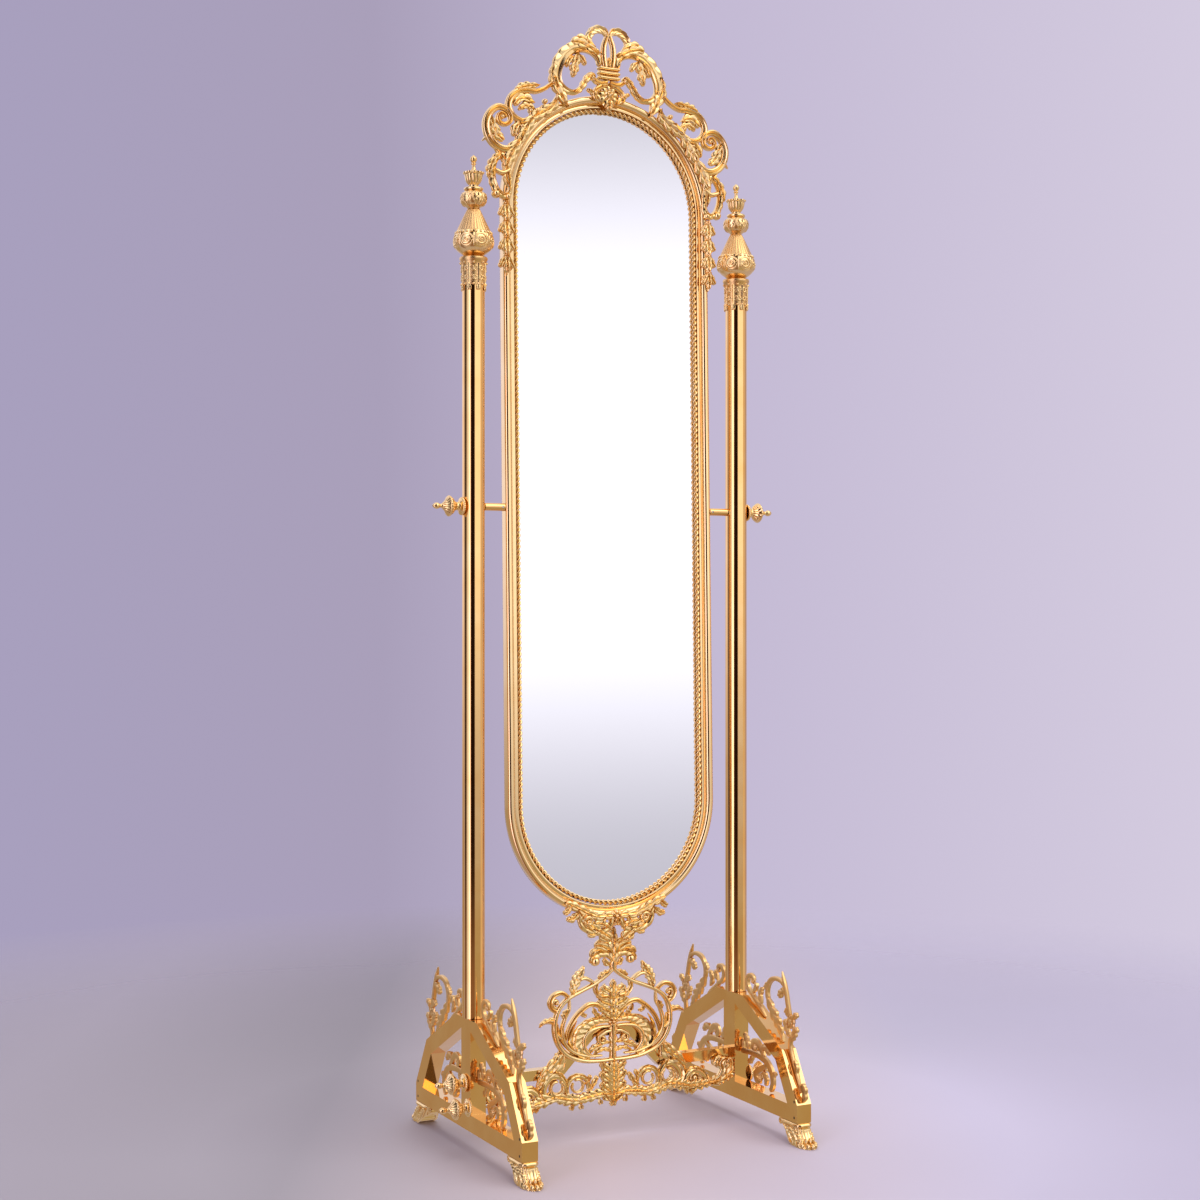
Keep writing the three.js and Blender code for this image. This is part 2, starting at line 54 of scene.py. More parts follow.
def box_mm(node):
    """Lowest and highest corner of a CAD node, in millimetres."""
    low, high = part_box(node)
    return np.array(low) / MM, np.array(high) / MM


def leaning_angle():
    """How far the mirror leans back at rest, from the top and bottom points of its glass."""
    points = np.array([v.co for v in frame["nodes"]["mirror_glass"].data.vertices])
    top = points[points[:, 2] > points[:, 2].max() - MM].mean(axis=0)
    bottom = points[points[:, 2] < points[:, 2].min() + MM].mean(axis=0)
    return math.atan2(top[1] - bottom[1], top[2] - bottom[2])


LEAN = leaning_angle()
PIVOT_Z = next(j for j in frame["joints"] if j["name"] == "mirror_tilt")["pos_m"][2] / MM
POST_LOW, POST_HIGH = box_mm("right_post")
POST_X = (POST_LOW[0] + POST_HIGH[0]) / 2
POST_R = (POST_HIGH[0] - POST_LOW[0]) / 2
POST_FOOT_Z = POST_LOW[2]
POST_TOP_Z = POST_HIGH[2]
APRON_BACK_Y = box_mm("apron_garland")[1][1]
FOOT_TOP = box_mm("left_front_foot")[1][2]

# Gap between neighbouring parts, bores for the pins, tie bolts and set screws, the wall of a post and
# the heads of the screws in the bars.
GAP = 0.35
PIN_BORE_R = 4.3
TIE_BORE_R = 2.8
SET_SCREW_BORE_R = 1.8
SET_SCREW_X = 202.0
KNOB_BORE_DEEP = 28.4
NUT_BORE_DEEP = 10.0
POST_WALL = 2.0
SCREW_HEAD_R = 2.3
SIDES = (("left", -1), ("right", 1))

# Mirror: its outer radius, the centres of its two arcs and the back of the castings on it.
FRAME_R = 197.0
ARC_LOW_Z = 569.0
ARC_HIGH_Z = 1583.0
CREST_BACK_Y = -9.3

# Trestle, by distance from its middle and height: square bar, its end, and the bends of a leg.
BAR = 28.0
BAR_END = 221.0
LEG_FOOT_Z = 69.0
SHOULDER = (173.0, 153.0)
APEX = (44.0, 222.0)
BAR_SCREWS = [(212.0, 73.0), (212.0, 46.5)]

# Stretcher between the trestles and the line of bolts through the ends of the garland.
STRETCHER_Y = 2.0
STRETCHER_Z = 115.0
STRETCHER_HALF = 9.0
GARLAND_Y = APRON_BACK_Y - 4
GARLAND_Z = 78.0

# Finials: bottom and top of the collar, bottom of the cone, and the radii round which the ornament
# of the collar, pear and bulb is wrapped.
COLLAR_LOW_Z = 1434.0
COLLAR_TOP_Z = 1482.0
COLLAR_R = 20.0
PEAR_R = 33.0
CONE_LOW_Z = 1524.0
BULB_R = 20.0


# ---------------------------------------------------------------- curves and closed surfaces

def smooth_path(points, pitch):
    """Rows every pitch along a smooth curve through rows [u, v, ...]; other columns follow along."""
    rows = np.array(points, float)
    gaps = np.sqrt(np.linalg.norm(np.diff(rows[:, :2], axis=0), axis=1))
    knots = np.concatenate([[0.0], np.cumsum(gaps)])
    slopes = np.gradient(rows, knots, axis=0)
    fine = np.linspace(0, knots[-1], 24 * len(rows))
    span = np.clip(np.searchsorted(knots, fine, side="right") - 1, 0, len(rows) - 2)
    width = (knots[span + 1] - knots[span])[:, None]
    share = (fine - knots[span])[:, None] / width
    start, end = rows[span], rows[span + 1]
    start_slope, end_slope = slopes[span] * width, slopes[span + 1] * width
    square, cube = share ** 2, share ** 3
    curve = (2 * cube - 3 * square + 1) * start + (cube - 2 * square + share) * start_slope
    curve += (3 * square - 2 * cube) * end + (cube - square) * end_slope
    steps = np.linalg.norm(np.diff(curve[:, :2], axis=0), axis=1)
    lengths = np.concatenate([[0.0], np.cumsum(steps)])
    stops = np.linspace(0, lengths[-1], max(5, round(lengths[-1] / pitch)) + 1)
    return np.column_stack([np.interp(stops, lengths, column) for column in curve.T])


def along_and_across(path):
    """Distance along a path, and the unit normal on its left side at each row."""
    steps = np.gradient(path[:, :2], axis=0)
    steps /= np.maximum(np.linalg.norm(steps, axis=1), 1e-9)[:, None]
    lengths = np.linalg.norm(np.diff(path[:, :2], axis=0), axis=1)
    return np.concatenate([[0.0], np.cumsum(lengths)]), np.column_stack([-steps[:, 1], steps[:, 0]])


class Shell:
    """Closed surfaces gathered into one mesh: u across, v up, h out of the plane, in millimetres."""

    def __init__(self):
        self.points = []
        self.faces = []
        self.count = 0

    def loft(self, rings, closed=False):
        """Rings of points joined by quads, capped at both ends or joined end to end."""
        rings = np.asarray(rings, float)
        n, m = rings.shape[:2]
        first = self.count
        self.points.append(rings.reshape(-1, 3))
        self.count += n * m
        row = np.arange(n if closed else n - 1)[:, None]
        column = np.arange(m)[None, :]
        after = (column + 1) % m
        below = (row + 1) % n
        quads = np.stack([row * m + column, row * m + after, below * m + after, below * m + column], -1)
        self.faces += (quads.reshape(-1, 4) + first).tolist()
        if not closed:
            self.faces.append(list(range(first + m - 1, first - 1, -1)))
            self.faces.append(list(range(first + (n - 1) * m, first + n * m)))

    def flip(self):
        """Replaces everything so far by its mirror image across u = 0."""
        self.points = [rows * np.array([-1.0, 1.0, 1.0]) for rows in self.points]
        self.faces = [list(reversed(face)) for face in self.faces]

    def mirror(self):
        """Adds the mirror image of everything so far across u = 0."""
        points = np.concatenate(self.points) * np.array([-1.0, 1.0, 1.0])
        self.points.append(points)
        self.faces += [[i + self.count for i in reversed(face)] for face in self.faces]
        self.count *= 2
        return self


def circle(u, v, reach, level, steps):
    """A ring of points round (u, v); reach and level are one number, or one for each point."""
    angles = np.linspace(0, 2 * math.pi, steps, endpoint=False)
    return np.column_stack([u + reach * np.cos(angles), v + reach * np.sin(angles),
                            np.full(steps, level, float)])


# ---------------------------------------------------------------- cast ornament

COLUMNS = 13
ACROSS = np.sin(np.linspace(-math.pi / 2, math.pi / 2, COLUMNS))
ROUND = np.sqrt(1 - ACROSS ** 2)
FORMS = {
    "round": ROUND,
    "flat": ROUND ** 0.2,
    "keel": (1 - np.abs(ACROSS)) ** 0.75,
    "twin": ROUND ** 0.5 * (1 - 0.55 * np.exp(-(ACROSS / 0.3) ** 2)),
    "left_rim": ROUND ** 0.5 * (0.58 + 0.42 * np.exp(-((ACROSS - 0.72) / 0.2) ** 2)
                                - 0.18 * np.exp(-((ACROSS - 0.3) / 0.18) ** 2)),
    "right_rim": ROUND ** 0.5 * (0.58 + 0.42 * np.exp(-((ACROSS + 0.72) / 0.2) ** 2)
                                 - 0.18 * np.exp(-((ACROSS + 0.3) / 0.18) ** 2)),
    "leaf": ROUND ** 0.5 * (0.72 + 0.28 * np.exp(-(ACROSS / 0.14) ** 2)
                            - 0.16 * np.exp(-((np.abs(ACROSS) - 0.3) / 0.14) ** 2)),
}


def relief(shell, points, form="round", thick=9.0, base=1.6, lift=0.0, rib=0.0, bite=0.3, cut=0.3,
           edge=0, sweep=0.0, slant=0.0, curl=0.0, both=False, pitch=1.5, widen=1.0):
    """A band in relief along points [u, v, half width]. Every rib mm its edges are nicked by bite
    and its surface creased by cut; edge 1 or -1 nicks the left or right edge only. The creases
    sweep from the middle to the edges towards the tip, by sweep half widths, or slant across."""
    path = smooth_path(points, pitch)
    distance, left = along_and_across(path)
    length = distance[-1]
    half = np.maximum(widen * path[:, 2], 0.4)
    for to_end in (distance, length - distance):
        near = np.clip(to_end / np.maximum(half, 1.0), 0, 1)
        half = half * np.maximum(0.12, np.sqrt(1 - (1 - near) ** 2))
    wide = np.repeat(half[:, None], COLUMNS, axis=1)
    height = np.minimum(1, half / 3.0)[:, None] * FORMS[form][None, :]
    forward = half[:, None] * (sweep * np.abs(ACROSS) ** 1.4 + slant * ACROSS)
    if rib:
        lobe = np.sin(math.pi * ((distance / rib) % 1) ** 1.4)
        notch = ((1 - lobe ** 0.7) * np.clip((length - distance) / rib - 0.3, 0, 1))[:, None]
        nicked = np.clip(2 * edge * ACROSS, 0, 1) if edge else 1.0
        wide = wide * (1 - bite * notch * nicked)
        height = height * (1 - cut * np.abs(ACROSS) ** (0.8 if sweep else 0.0) * notch * nicked)
    rise = curl * (distance[:, None] / length) ** 2
    front = base + lift + (thick - base) * height + rise
    front[:, 0] -= 0.6 * base
    front[:, -1] -= 0.6 * base
    u = path[:, :1] + left[:, :1] * wide * ACROSS + left[:, 1:] * forward
    v = path[:, 1:2] + left[:, 1:] * wide * ACROSS - left[:, :1] * forward
    if both:
        back = -front[:, ::-1][:, 1:-1]
        back_u, back_v = u[:, ::-1][:, 1:-1], v[:, ::-1][:, 1:-1]
    else:
        keep = [COLUMNS - 2, 1]
        back = np.zeros((len(path), 2)) + rise * 0.6
        back_u, back_v = u[:, keep], v[:, keep]
    rings = np.stack([np.hstack([u, back_u]), np.hstack([v, back_v]), np.hstack([front, back])], -1)
    shell.loft(rings)


def leaf(shell, points, lobes=4, **options):
    """An acanthus leaf along points [u, v, half width], with that many lobes on each side."""
    rows = np.array(points, float)
    length = np.linalg.norm(np.diff(rows[:, :2], axis=0), axis=1).sum()
    settings = {"form": "leaf", "rib": length / lobes, "bite": 0.42, "cut": 0.3, "sweep": 0.9,
                "pitch": 1.0}
    settings.update(options)
    relief(shell, points, **settings)


def bead(shell, u, v, radius, height):
    """A round bead or boss standing on the plane."""
    profile = [(math.sin(a), math.cos(a)) for a in np.linspace(0.12, math.pi / 2, 6)]
    profile.append((0.85, -0.15))
    shell.loft([circle(u, v, radius * reach, height * rise if rise >= 0 else -0.5, 14)
                for reach, rise in profile])


def rosette(shell, u, v, radius, petals=6, height=6.0, turn=0.0, both=False, heart=0.28):
    """A flower of rounded petals round a domed heart."""
    steps = petals * 8
    angles = np.linspace(0, 2 * math.pi, steps, endpoint=False)
    petal = np.abs(np.cos(petals * (angles - turn) / 2))
    rings = []
    for reach in (0.03, 0.15, heart, heart + 0.06, 0.5, 0.7, 0.88, 1.0):
        scallop = 1 - 0.24 * (1 - petal ** 0.5) * reach
        if reach <= heart:
            level = height * (1 - 0.35 * (reach / heart) ** 2) * np.ones(steps)
        else:
            share = (reach - heart) / (1 - heart)
            level = height * (0.45 + 0.4 * math.sin(math.pi * share ** 0.8) - 0.25 * share)
            level = level * (0.6 + 0.4 * petal ** 0.6)
        rings.append(circle(u, v, radius * reach * scallop, level, steps))
    last = rings[-1].copy()
    if both:
        for ring in reversed(rings[:-1]):
            mirrored = ring.copy()
            mirrored[:, 2] = -ring[:, 2]
            rings.append(mirrored)
    else:
        last[:, :2] = np.array([u, v]) + 0.9 * (last[:, :2] - np.array([u, v]))
        last[:, 2] = 0
        rings.append(last)
    shell.loft(rings)


def volute(u, v, start_radius, end_radius, start_angle, turns, start_half, end_half):
    """Points of a spiral round (u, v); angles in degrees, turns positive anticlockwise."""
    count = max(5, round(abs(turns) * 9))
    points = []
    for share in np.linspace(0, 1, count):
        angle = math.radians(start_angle + 360 * turns * share)
        radius = start_radius + (end_radius - start_radius) * share ** 0.85
        half = start_half + (end_half - start_half) * share
        points.append([u + radius * math.cos(angle), v + radius * math.sin(angle), half])
    return points


# ---------------------------------------------------------------- where a piece goes

def on_front(back_y):
    """Places (u, v, h) on a plane that faces the front: h is the distance in front of back_y."""
    return lambda p: np.column_stack([p[:, 0], back_y - p[:, 2], p[:, 1]])


def on_trestle(x, front):
    """Places (u, v, h) in a trestle's own plane: u is the distance from its middle to that end."""
    return lambda p: np.column_stack([x + p[:, 2], -front * p[:, 0], p[:, 1]])


def upright(x, y=0.0):
    """Places (x, y, z) round a vertical axis at x, y."""
    return lambda p: p + np.array([x, y, 0.0])


def wrapped(x, around, profile):
    """Places (u, v, h) on a turned body at x: u is measured round it at the radius around, v is the
    height and h stands off the profile [radius, height]."""
    rows = np.array(sorted(profile, key=lambda row: row[1]))

    def place(p):
        angle = p[:, 0] / around - math.pi / 2
        reach = np.interp(p[:, 1], rows[:, 1], rows[:, 0]) + p[:, 2]
        return np.column_stack([x + reach * np.cos(angle), reach * np.sin(angle), p[:, 1]])

    return place


def pointing(sign, x, y, z):
    """Places a piece turned about its own Z so that it points along +X or -X from (x, y, z)."""
    return lambda p: np.column_stack([x + sign * p[:, 2], y + p[:, 0], z + p[:, 1]])


def lean_back(points):
    """Turns points of the upright mirror about the pivot axis to where it rests."""
    y, z = points[:, 1], points[:, 2] - PIVOT_Z
    cosine, sine = math.cos(LEAN), math.sin(LEAN)
    return np.column_stack([points[:, 0], y * cosine + z * sine, PIVOT_Z + z * cosine - y * sine])


def add_object(name, mesh, material, body, nodes):
    mesh.materials.append(material)
    piece = bpy.data.objects.new(name, mesh)
    bpy.context.scene.collection.objects.link(piece)
    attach(piece, body)
    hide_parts(*nodes)
    return piece


def add_piece(name, shell, place, material, body, nodes, sharp=50, leaning=False):
    """Makes the mesh of a shell, faces outward and smooth except at sharp edges."""
    points = place(np.concatenate(shell.points))
    if leaning:
        points = lean_back(points)
    mesh = bpy.data.meshes.new(name)
    mesh.from_pydata(points * MM, [], shell.faces)
    work = bmesh.new()
    work.from_mesh(mesh)
    bmesh.ops.recalc_face_normals(work, faces=work.faces)
    work.to_mesh(mesh)
    work.free()
    mesh.shade_smooth()
    mesh.set_sharp_from_angle(angle=math.radians(sharp))
    return add_object(name, mesh, material, body, nodes)


def add_bevelled(node, material, body, width):
    """A copy of a flat-sided CAD node with its edges eased."""
    mesh = frame["nodes"][node].data.copy()
    mesh.name = node + "_eased"
    mesh.materials.clear()
    work = bmesh.new()
    work.from_mesh(mesh)
    bmesh.ops.remove_doubles(work, verts=work.verts, dist=0.01 * MM)
    bmesh.ops.dissolve_limit(work, angle_limit=math.radians(0.5), verts=work.verts, edges=work.edges)
    edges = [e for e in work.edges if e.is_manifold and e.calc_face_angle(0) > math.radians(28)]
    bmesh.ops.bevel(work, geom=edges, offset=width * MM, segments=3, profile=0.6,
                    affect="EDGES", clamp_overlap=True)
    for face in work.faces:
        face.smooth = True
    work.to_mesh(mesh)
    work.free()
    mesh.set_sharp_from_angle(angle=math.radians(35))
    piece = add_object(node + "_eased", mesh, material, body, [node])
    weighted = piece.modifiers.new("flat faces", "WEIGHTED_NORMAL")
    weighted.keep_sharp = True
    return piece


# ---------------------------------------------------------------- turned work

def turned(shell, profile, steps, dent=None, pitch=None, closed=False, inside=0.0):
    """A solid turned about Z from a profile [radius, height]; dent(angle, height) changes the
    radius in millimetres at each point outside the radius inside. Closed profiles make a ring."""
    rows = np.array(profile + profile[:1] if closed else profile, float)
    if pitch:
        pieces = []
        for start, end in zip(rows[:-1], rows[1:]):
            count = max(1, round(np.linalg.norm(end - start) / pitch))
            pieces.append(start + (end - start) * np.linspace(0, 1, count, endpoint=False)[:, None])
        rows = np.vstack(pieces + [rows[-1:]])
    if closed:
        rows = rows[:-1]
    angles = np.linspace(0, 2 * math.pi, steps, endpoint=False)
    radius = np.repeat(rows[:, :1], steps, axis=1)
    height = np.repeat(rows[:, 1:2], steps, axis=1)
    if dent is not None:
        radius = np.where(radius > inside + 0.1, radius + dent(angles[None, :], height), radius)
    radius = np.maximum(radius, 0.05)
    shell.loft(np.stack([radius * np.cos(angles), radius * np.sin(angles), height], -1), closed)


def add_turned(name, profile, steps, place, material, body, node, sharp=60, **options):
    """A turned piece of its own in place of one CAD node."""
    shell = Shell()
    turned(shell, profile, steps, **options)
    return add_piece(name, shell, place, material, body, [node], sharp)


def curve_profile(points, pitch=0.8):
    """A smooth turned profile through points [radius, height]."""
    return smooth_path(points, pitch).tolist()


def window(height, low, high, soft):
    """1 between two heights and 0 outside, with soft edges."""
    return np.clip((height - low) / soft + 0.5, 0, 1) * np.clip((high - height) / soft + 0.5, 0, 1)


# ---------------------------------------------------------------- mirror frame and rope

ARC_STEPS = 72


def arc_steps():
    """Angle and arc centre height at each step round the glass outline, anticlockwise."""
    share = np.linspace(0, 1, ARC_STEPS + 1)
    angles = np.concatenate([math.pi * share, math.pi * (1 + share)])
    centres = np.concatenate([np.full(ARC_STEPS + 1, ARC_HIGH_Z), np.full(ARC_STEPS + 1, ARC_LOW_Z)])
    return angles, centres


def moulding(shell, section):
    """Sweeps a closed section [radius, y] round the outline of the glass."""
    rows = np.array(section, float)
    angles, centres = arc_steps()
    x = rows[None, :, 0] * np.cos(angles)[:, None]
    z = centres[:, None] + rows[None, :, 0] * np.sin(angles)[:, None]
    y = np.repeat(rows[None, :, 1], len(angles), axis=0)
    shell.loft(np.stack([x, y, z], -1), closed=True)


def round_the_glass(radius, distance):
    """Angle and arc centre height at each distance round the outline of that radius."""
    arc, straight = math.pi * radius, ARC_HIGH_Z - ARC_LOW_Z
    distance = distance % (2 * (arc + straight))
    second = distance > arc + straight
    local = np.where(second, distance - arc - straight, distance)
    on_arc = local < arc
    angle = np.where(on_arc, local / radius, math.pi) + np.where(second, math.pi, 0)
    run = np.where(on_arc, 0, local - arc)
    centre = np.where(second, ARC_LOW_Z + run, ARC_HIGH_Z - run)
    return angle, centre


def rope(shell, radius, y, strand_offset, strand_radius, pitch, per_turn=14, sides=10):
    """Two strands twisted round each other along the outline."""
    total = 2 * (math.pi * radius + ARC_HIGH_Z - ARC_LOW_Z)
    turns = round(total / pitch)
    distance = np.linspace(0, total, turns * per_turn, endpoint=False)
    angle, centre = round_the_glass(radius, distance)
    for strand in (0, math.pi):
        phase = 2 * math.pi * turns * distance / total + strand
        out = radius + strand_offset * np.cos(phase)
        deep = y + strand_offset * np.sin(phase)
        rim = np.linspace(0, 2 * math.pi, sides, endpoint=False)[None, :]
        reach = out[:, None] + strand_radius * np.cos(rim)
        level = deep[:, None] + strand_radius * np.sin(rim)
        x = reach * np.cos(angle)[:, None]
        z = centre[:, None] + reach * np.sin(angle)[:, None]
        shell.loft(np.stack([x, level, z], -1), closed=True)


# ---------------------------------------------------------------- crest on the mirror frame

def crown():
    half = Shell()
    # Curl on top: a fluted roll round an oval opening, and the strand on its inner side.
    relief(half, [[0, 1884, 5.5], [8, 1889, 7.5], [18, 1890.5, 8.4], [29, 1885.5, 8], [35.5, 1875, 7],
                  [35, 1864, 6], [28, 1856, 5.4], [17, 1854, 4]], "left_rim", thick=10, rib=10, bite=0.12,
           cut=0.22, slant=1.0, pitch=1.0)
    relief(half, [[1, 1886, 3.6], [4.5, 1876, 4.2], [8, 1866, 4.8], [9.5, 1855, 5], [9, 1844, 5],
                  [7.5, 1834, 4.8], [6.5, 1826, 4.8]], "twin", thick=8)
    # Ruffled leaves between the curl and the big scroll.
    leaf(half, [[18, 1849, 6], [31, 1856, 9.5], [45, 1862, 11], [58, 1865, 8.5], [69, 1863, 2]], 3,
         thick=11, bite=0.45)
    leaf(half, [[25, 1859, 5], [37, 1867, 8], [49, 1872, 7], [60, 1873, 1.5]], 2)
    # Big scroll: a flat band, nicked outside, with a raised rim round its opening.
    spine = [[17, 1828, 4.5], [19.5, 1842, 6], [31, 1852.5, 7.5], [50, 1857.5, 9.6], [72, 1851.5, 11],
             [90, 1834, 11.4], [99, 1811, 10.8], [96.5, 1792, 8.5], [83, 1780, 5.8], [67, 1777.5, 5],
             [55, 1784.5, 5], [46, 1797, 5.4], [38, 1808, 5.2], [31, 1811, 4.4], [27.5, 1806, 3]]
    relief(half, spine, "right_rim", thick=9.5, rib=19, bite=0.13, cut=0.3, edge=1, pitch=1.2)
    leaf(half, [[103, 1824, 3], [107, 1810, 6], [107, 1795, 6.5], [100, 1779, 2]], 3)
    # Leaf wrapped round the tail of the volute.
    leaf(half, [[68, 1776, 4], [56, 1783.5, 6], [47, 1796, 6.5], [39, 1807, 6], [31, 1812, 4]], 4,
         thick=11.5, bite=0.3)
    bead(half, 31.5, 1806.5, 4.6, 10)
    # Leaf that hangs into the opening, with two side lobes.
    leaf(half, [[57, 1850, 5], [60, 1839, 9], [64, 1824, 9], [68, 1804, 1.5]], 3, thick=9.5, bite=0.5)
    leaf(half, [[58, 1845, 4], [50, 1837, 6], [44, 1827, 1.5]], 2, thick=8.5)
    leaf(half, [[66, 1841, 4], [75, 1832, 6], [80, 1820, 1.5]], 2, thick=8.5)
    # Arms under the tie that hold the rosette, and the leaf that climbs from the frame.
    relief(half, [[1, 1801.5, 4.2], [13, 1799, 4.6], [24, 1801, 4.4], [31, 1807, 3]], "twin", thick=9.5)
    relief(half, [[3, 1797, 3.6], [15, 1793.5, 4.4], [25, 1786, 4.4], [28, 1776, 4], [24, 1767, 2.4]],
           "twin")
    leaf(half, [[14, 1764, 4], [21, 1772, 6.5], [30, 1781, 5], [41, 1786, 1.5]], 3, thick=9.5)
    leaf(half, [[79, 1750, 4], [85, 1760, 10], [93, 1774, 11], [100, 1788, 7.5], [104, 1801, 1.5]], 3,
         thick=11.5)
    whole = half.mirror()
    relief(whole, [[-20, 1817, 11], [20, 1817, 11]], "twin", thick=5, base=3)
    for level in (1825, 1817, 1809):
        relief(whole, [[-21, level, 3.3], [0, level - 0.6, 3.4], [21, level, 3.3]], "round", thick=11.5,
               base=3)
    leaf(whole, [[0, 1846, 2], [0, 1838, 5], [0, 1829, 4]], 2)
    rosette(whole, 0, 1779, 21, petals=9, height=9, turn=0.2, heart=0.36)
    rosette(whole, 0, 1779, 11.5, petals=6, height=13.5, turn=0.5)
    leaf(whole, [[0, 1772, 4], [0, 1764, 7], [0, 1754, 1.5]], 2, thick=11)
    return whole


def arch_scroll():
    shell = Shell()
    # Tendril that leaves the crown and curls round the first ring.
    relief(shell, [[106, 1790, 3.5], [121, 1778, 4], [138, 1771, 4.8], [156, 1771, 5.4], [172, 1766.5, 6],
                   [184, 1756, 6.2], [189, 1741, 6], [183, 1727, 5.4], [169, 1719, 4.8], [153, 1720, 4.4],
                   [141, 1727, 3]], "twin")
    leaf(shell, [[130, 1782, 3], [145, 1780, 7], [161, 1777, 7], [175, 1770, 2]], 4, thick=10)
    leaf(shell, [[141, 1750, 5], [155, 1757, 10], [168, 1755, 8.5], [178, 1744, 2]], 3, thick=10)
    leaf(shell, [[138, 1737, 4], [150, 1744, 7.5], [162, 1743, 5], [170, 1737, 1.5]], 3)
    # Leaves that climb the arch of the frame.
    leaf(shell, [[100, 1768, 5], [103, 1756, 9.5], [114, 1745, 11.5], [130, 1735, 10], [146, 1725, 4]], 4,
         thick=12)
    leaf(shell, [[128, 1746, 5], [139, 1733, 10], [151, 1717, 11.5], [161, 1699, 10], [168, 1682, 3]], 4,
         thick=11.5)
    leaf(shell, [[158, 1706, 5], [167, 1690, 10], [178, 1673, 12], [188, 1655, 10.5], [195, 1638, 4]], 4,
         thick=12.5)
    for u, v in [(121, 1756), (148, 1737), (165, 1709)]:
        bead(shell, u, v, 4.8, 10)
    leaf(shell, [[158, 1714, 4], [169, 1713, 7.5], [177, 1704, 7], [180, 1691, 1.5]], 3, thick=9.5)
    # Second ring: a double band that closes in a volute, with leaves inside and a spike outside.
    ring = [[171, 1681, 4], [183, 1671, 5.6], [199, 1667, 6.4], [216, 1674, 6.8], [227.5, 1690, 7],
            [230, 1709, 6.8], [222, 1727, 6.2], [208, 1737, 5.8], [194, 1734, 5.2], [186, 1723, 4.6]]
    relief(shell, ring + volute(200, 1720, 14, 3.5, 200, 1.0, 4.4, 3), "twin", thick=9.5)
    bead(shell, 201, 1721, 4.8, 9.5)
    leaf(shell, [[223, 1724, 3], [217, 1707, 9.5], [210, 1692, 9], [199, 1681, 2]], 4, thick=9.5)
    relief(shell, [[220, 1689, 4.6], [229, 1684, 3.6], [237, 1677, 1.0]], "keel", thick=8)
    leaf(shell, [[216, 1668, 4], [207, 1661, 6], [198, 1650, 2]], 2, thick=8)
    # Looped scroll with a cross strand and a ball.
    relief(shell, [[187, 1650, 5], [200, 1657, 6], [213, 1650, 6.2], [220, 1632, 6.6], [219, 1611, 6.8],
                   [210, 1594, 6.4], [197, 1588, 5.8], [188, 1597, 5], [187, 1614, 4.6], [189, 1633, 4.6],
                   [192, 1649, 4.4]], "right_rim", thick=10, rib=11, bite=0.2, cut=0.3, edge=1)
    relief(shell, [[187, 1634, 4], [201, 1627, 4.6], [216, 1631, 4]], "round")
    leaf(shell, [[202, 1661, 4], [214, 1651, 7], [223, 1636, 7], [226, 1618, 2]], 4, thick=10, lift=1)
    leaf(shell, [[191, 1603, 4], [194, 1620, 7], [194, 1638, 8], [199, 1656, 4]], 3)
    bead(shell, 213, 1591, 7.6, 11.5)
    bead(shell, 192, 1588, 6, 10.5)
    return shell


def pendant():
    shell = Shell()
    relief(shell, [[194, 1580, 5], [194.5, 1520, 5.4], [194, 1456, 2]], "keel", thick=6)
    tops = [(1581, 11.5), (1553, 12), (1524, 11.5), (1494, 9)]
    for top, half in tops:
        for side in (-1, 1):
            leaf(shell, [[194.5 + side * 2, top - 4, 3], [194.5 + side * 6, top - 12, 5.5],
                         [194.5 + side * 9.5, top - 19, 4.4], [194.5 + side * 12.5, top - 25, 1.4]], 2,
                 thick=8.5)
        leaf(shell, [[194, top, 0.5 * half], [194.5, top - 9, 0.8 * half], [194.5, top - 19, 0.7 * half],
                     [194, top - 34, 1.5]], 3, thick=10.5, bite=0.3, curl=2)
        rosette(shell, 194.5, top - 5, 6, petals=5, height=12)
    return shell


def bottom_ornament():
    half = Shell()
    leaf(half, [[1, 376, 6], [17, 377, 8], [35, 377, 8.5], [52, 383, 9], [68, 391, 8.5], [82, 398, 7],
                [95, 404, 2]], 6, thick=9.5)
    # Arm that gathers towards the middle, with a scroll on it.
    leaf(half, [[74, 392, 5], [63, 377, 8.5], [50, 364, 9.5], [36, 354, 10], [22, 346, 9], [11, 338, 2]], 5)
    relief(half, [[9, 374, 4], [12, 362, 5.4], [22, 353, 6], [37, 350.5, 6.2], [52, 354, 6.4],
                  [64, 363, 6.4], [68, 374, 5.4], [60, 384, 4]], "left_rim", thick=10.5, rib=16, bite=0.12,
           cut=0.25, slant=0.5)
    relief(half, volute(54, 370, 9.5, 3, 15, 0.95, 4.4, 3), "round", thick=10)
    bead(half, 54, 370, 5, 10.5)
    leaf(half, [[10, 352, 4], [22, 361, 7], [35, 366, 5], [43, 364, 1.5]], 3)
    leaf(half, [[36, 352, 4], [46, 347, 5.5], [54, 348, 1.5]], 2, thick=8.5)
    leaf(half, [[70, 388, 5], [79, 380, 7.5], [87, 376, 5], [94, 377, 1.5]], 3, thick=9.5)
    leaf(half, [[85, 400, 4], [92, 391, 6], [99, 386, 1.5]], 2, thick=8.5)
    leaf(half, [[21, 378, 4], [26, 369, 6], [33, 361, 1.5]], 2)
    leaf(half, [[34, 348, 5], [28, 341, 6.5], [18, 335, 1.5]], 2, thick=9.5)
    whole = half.mirror()
    rosette(whole, 0, 376, 12, petals=6, height=11.5, turn=math.pi / 6)
    leaf(whole, [[0, 372, 5], [0, 366, 7], [0, 360, 1.5]], 2, thick=10)
    return whole


# ---------------------------------------------------------------- apron between the trestles

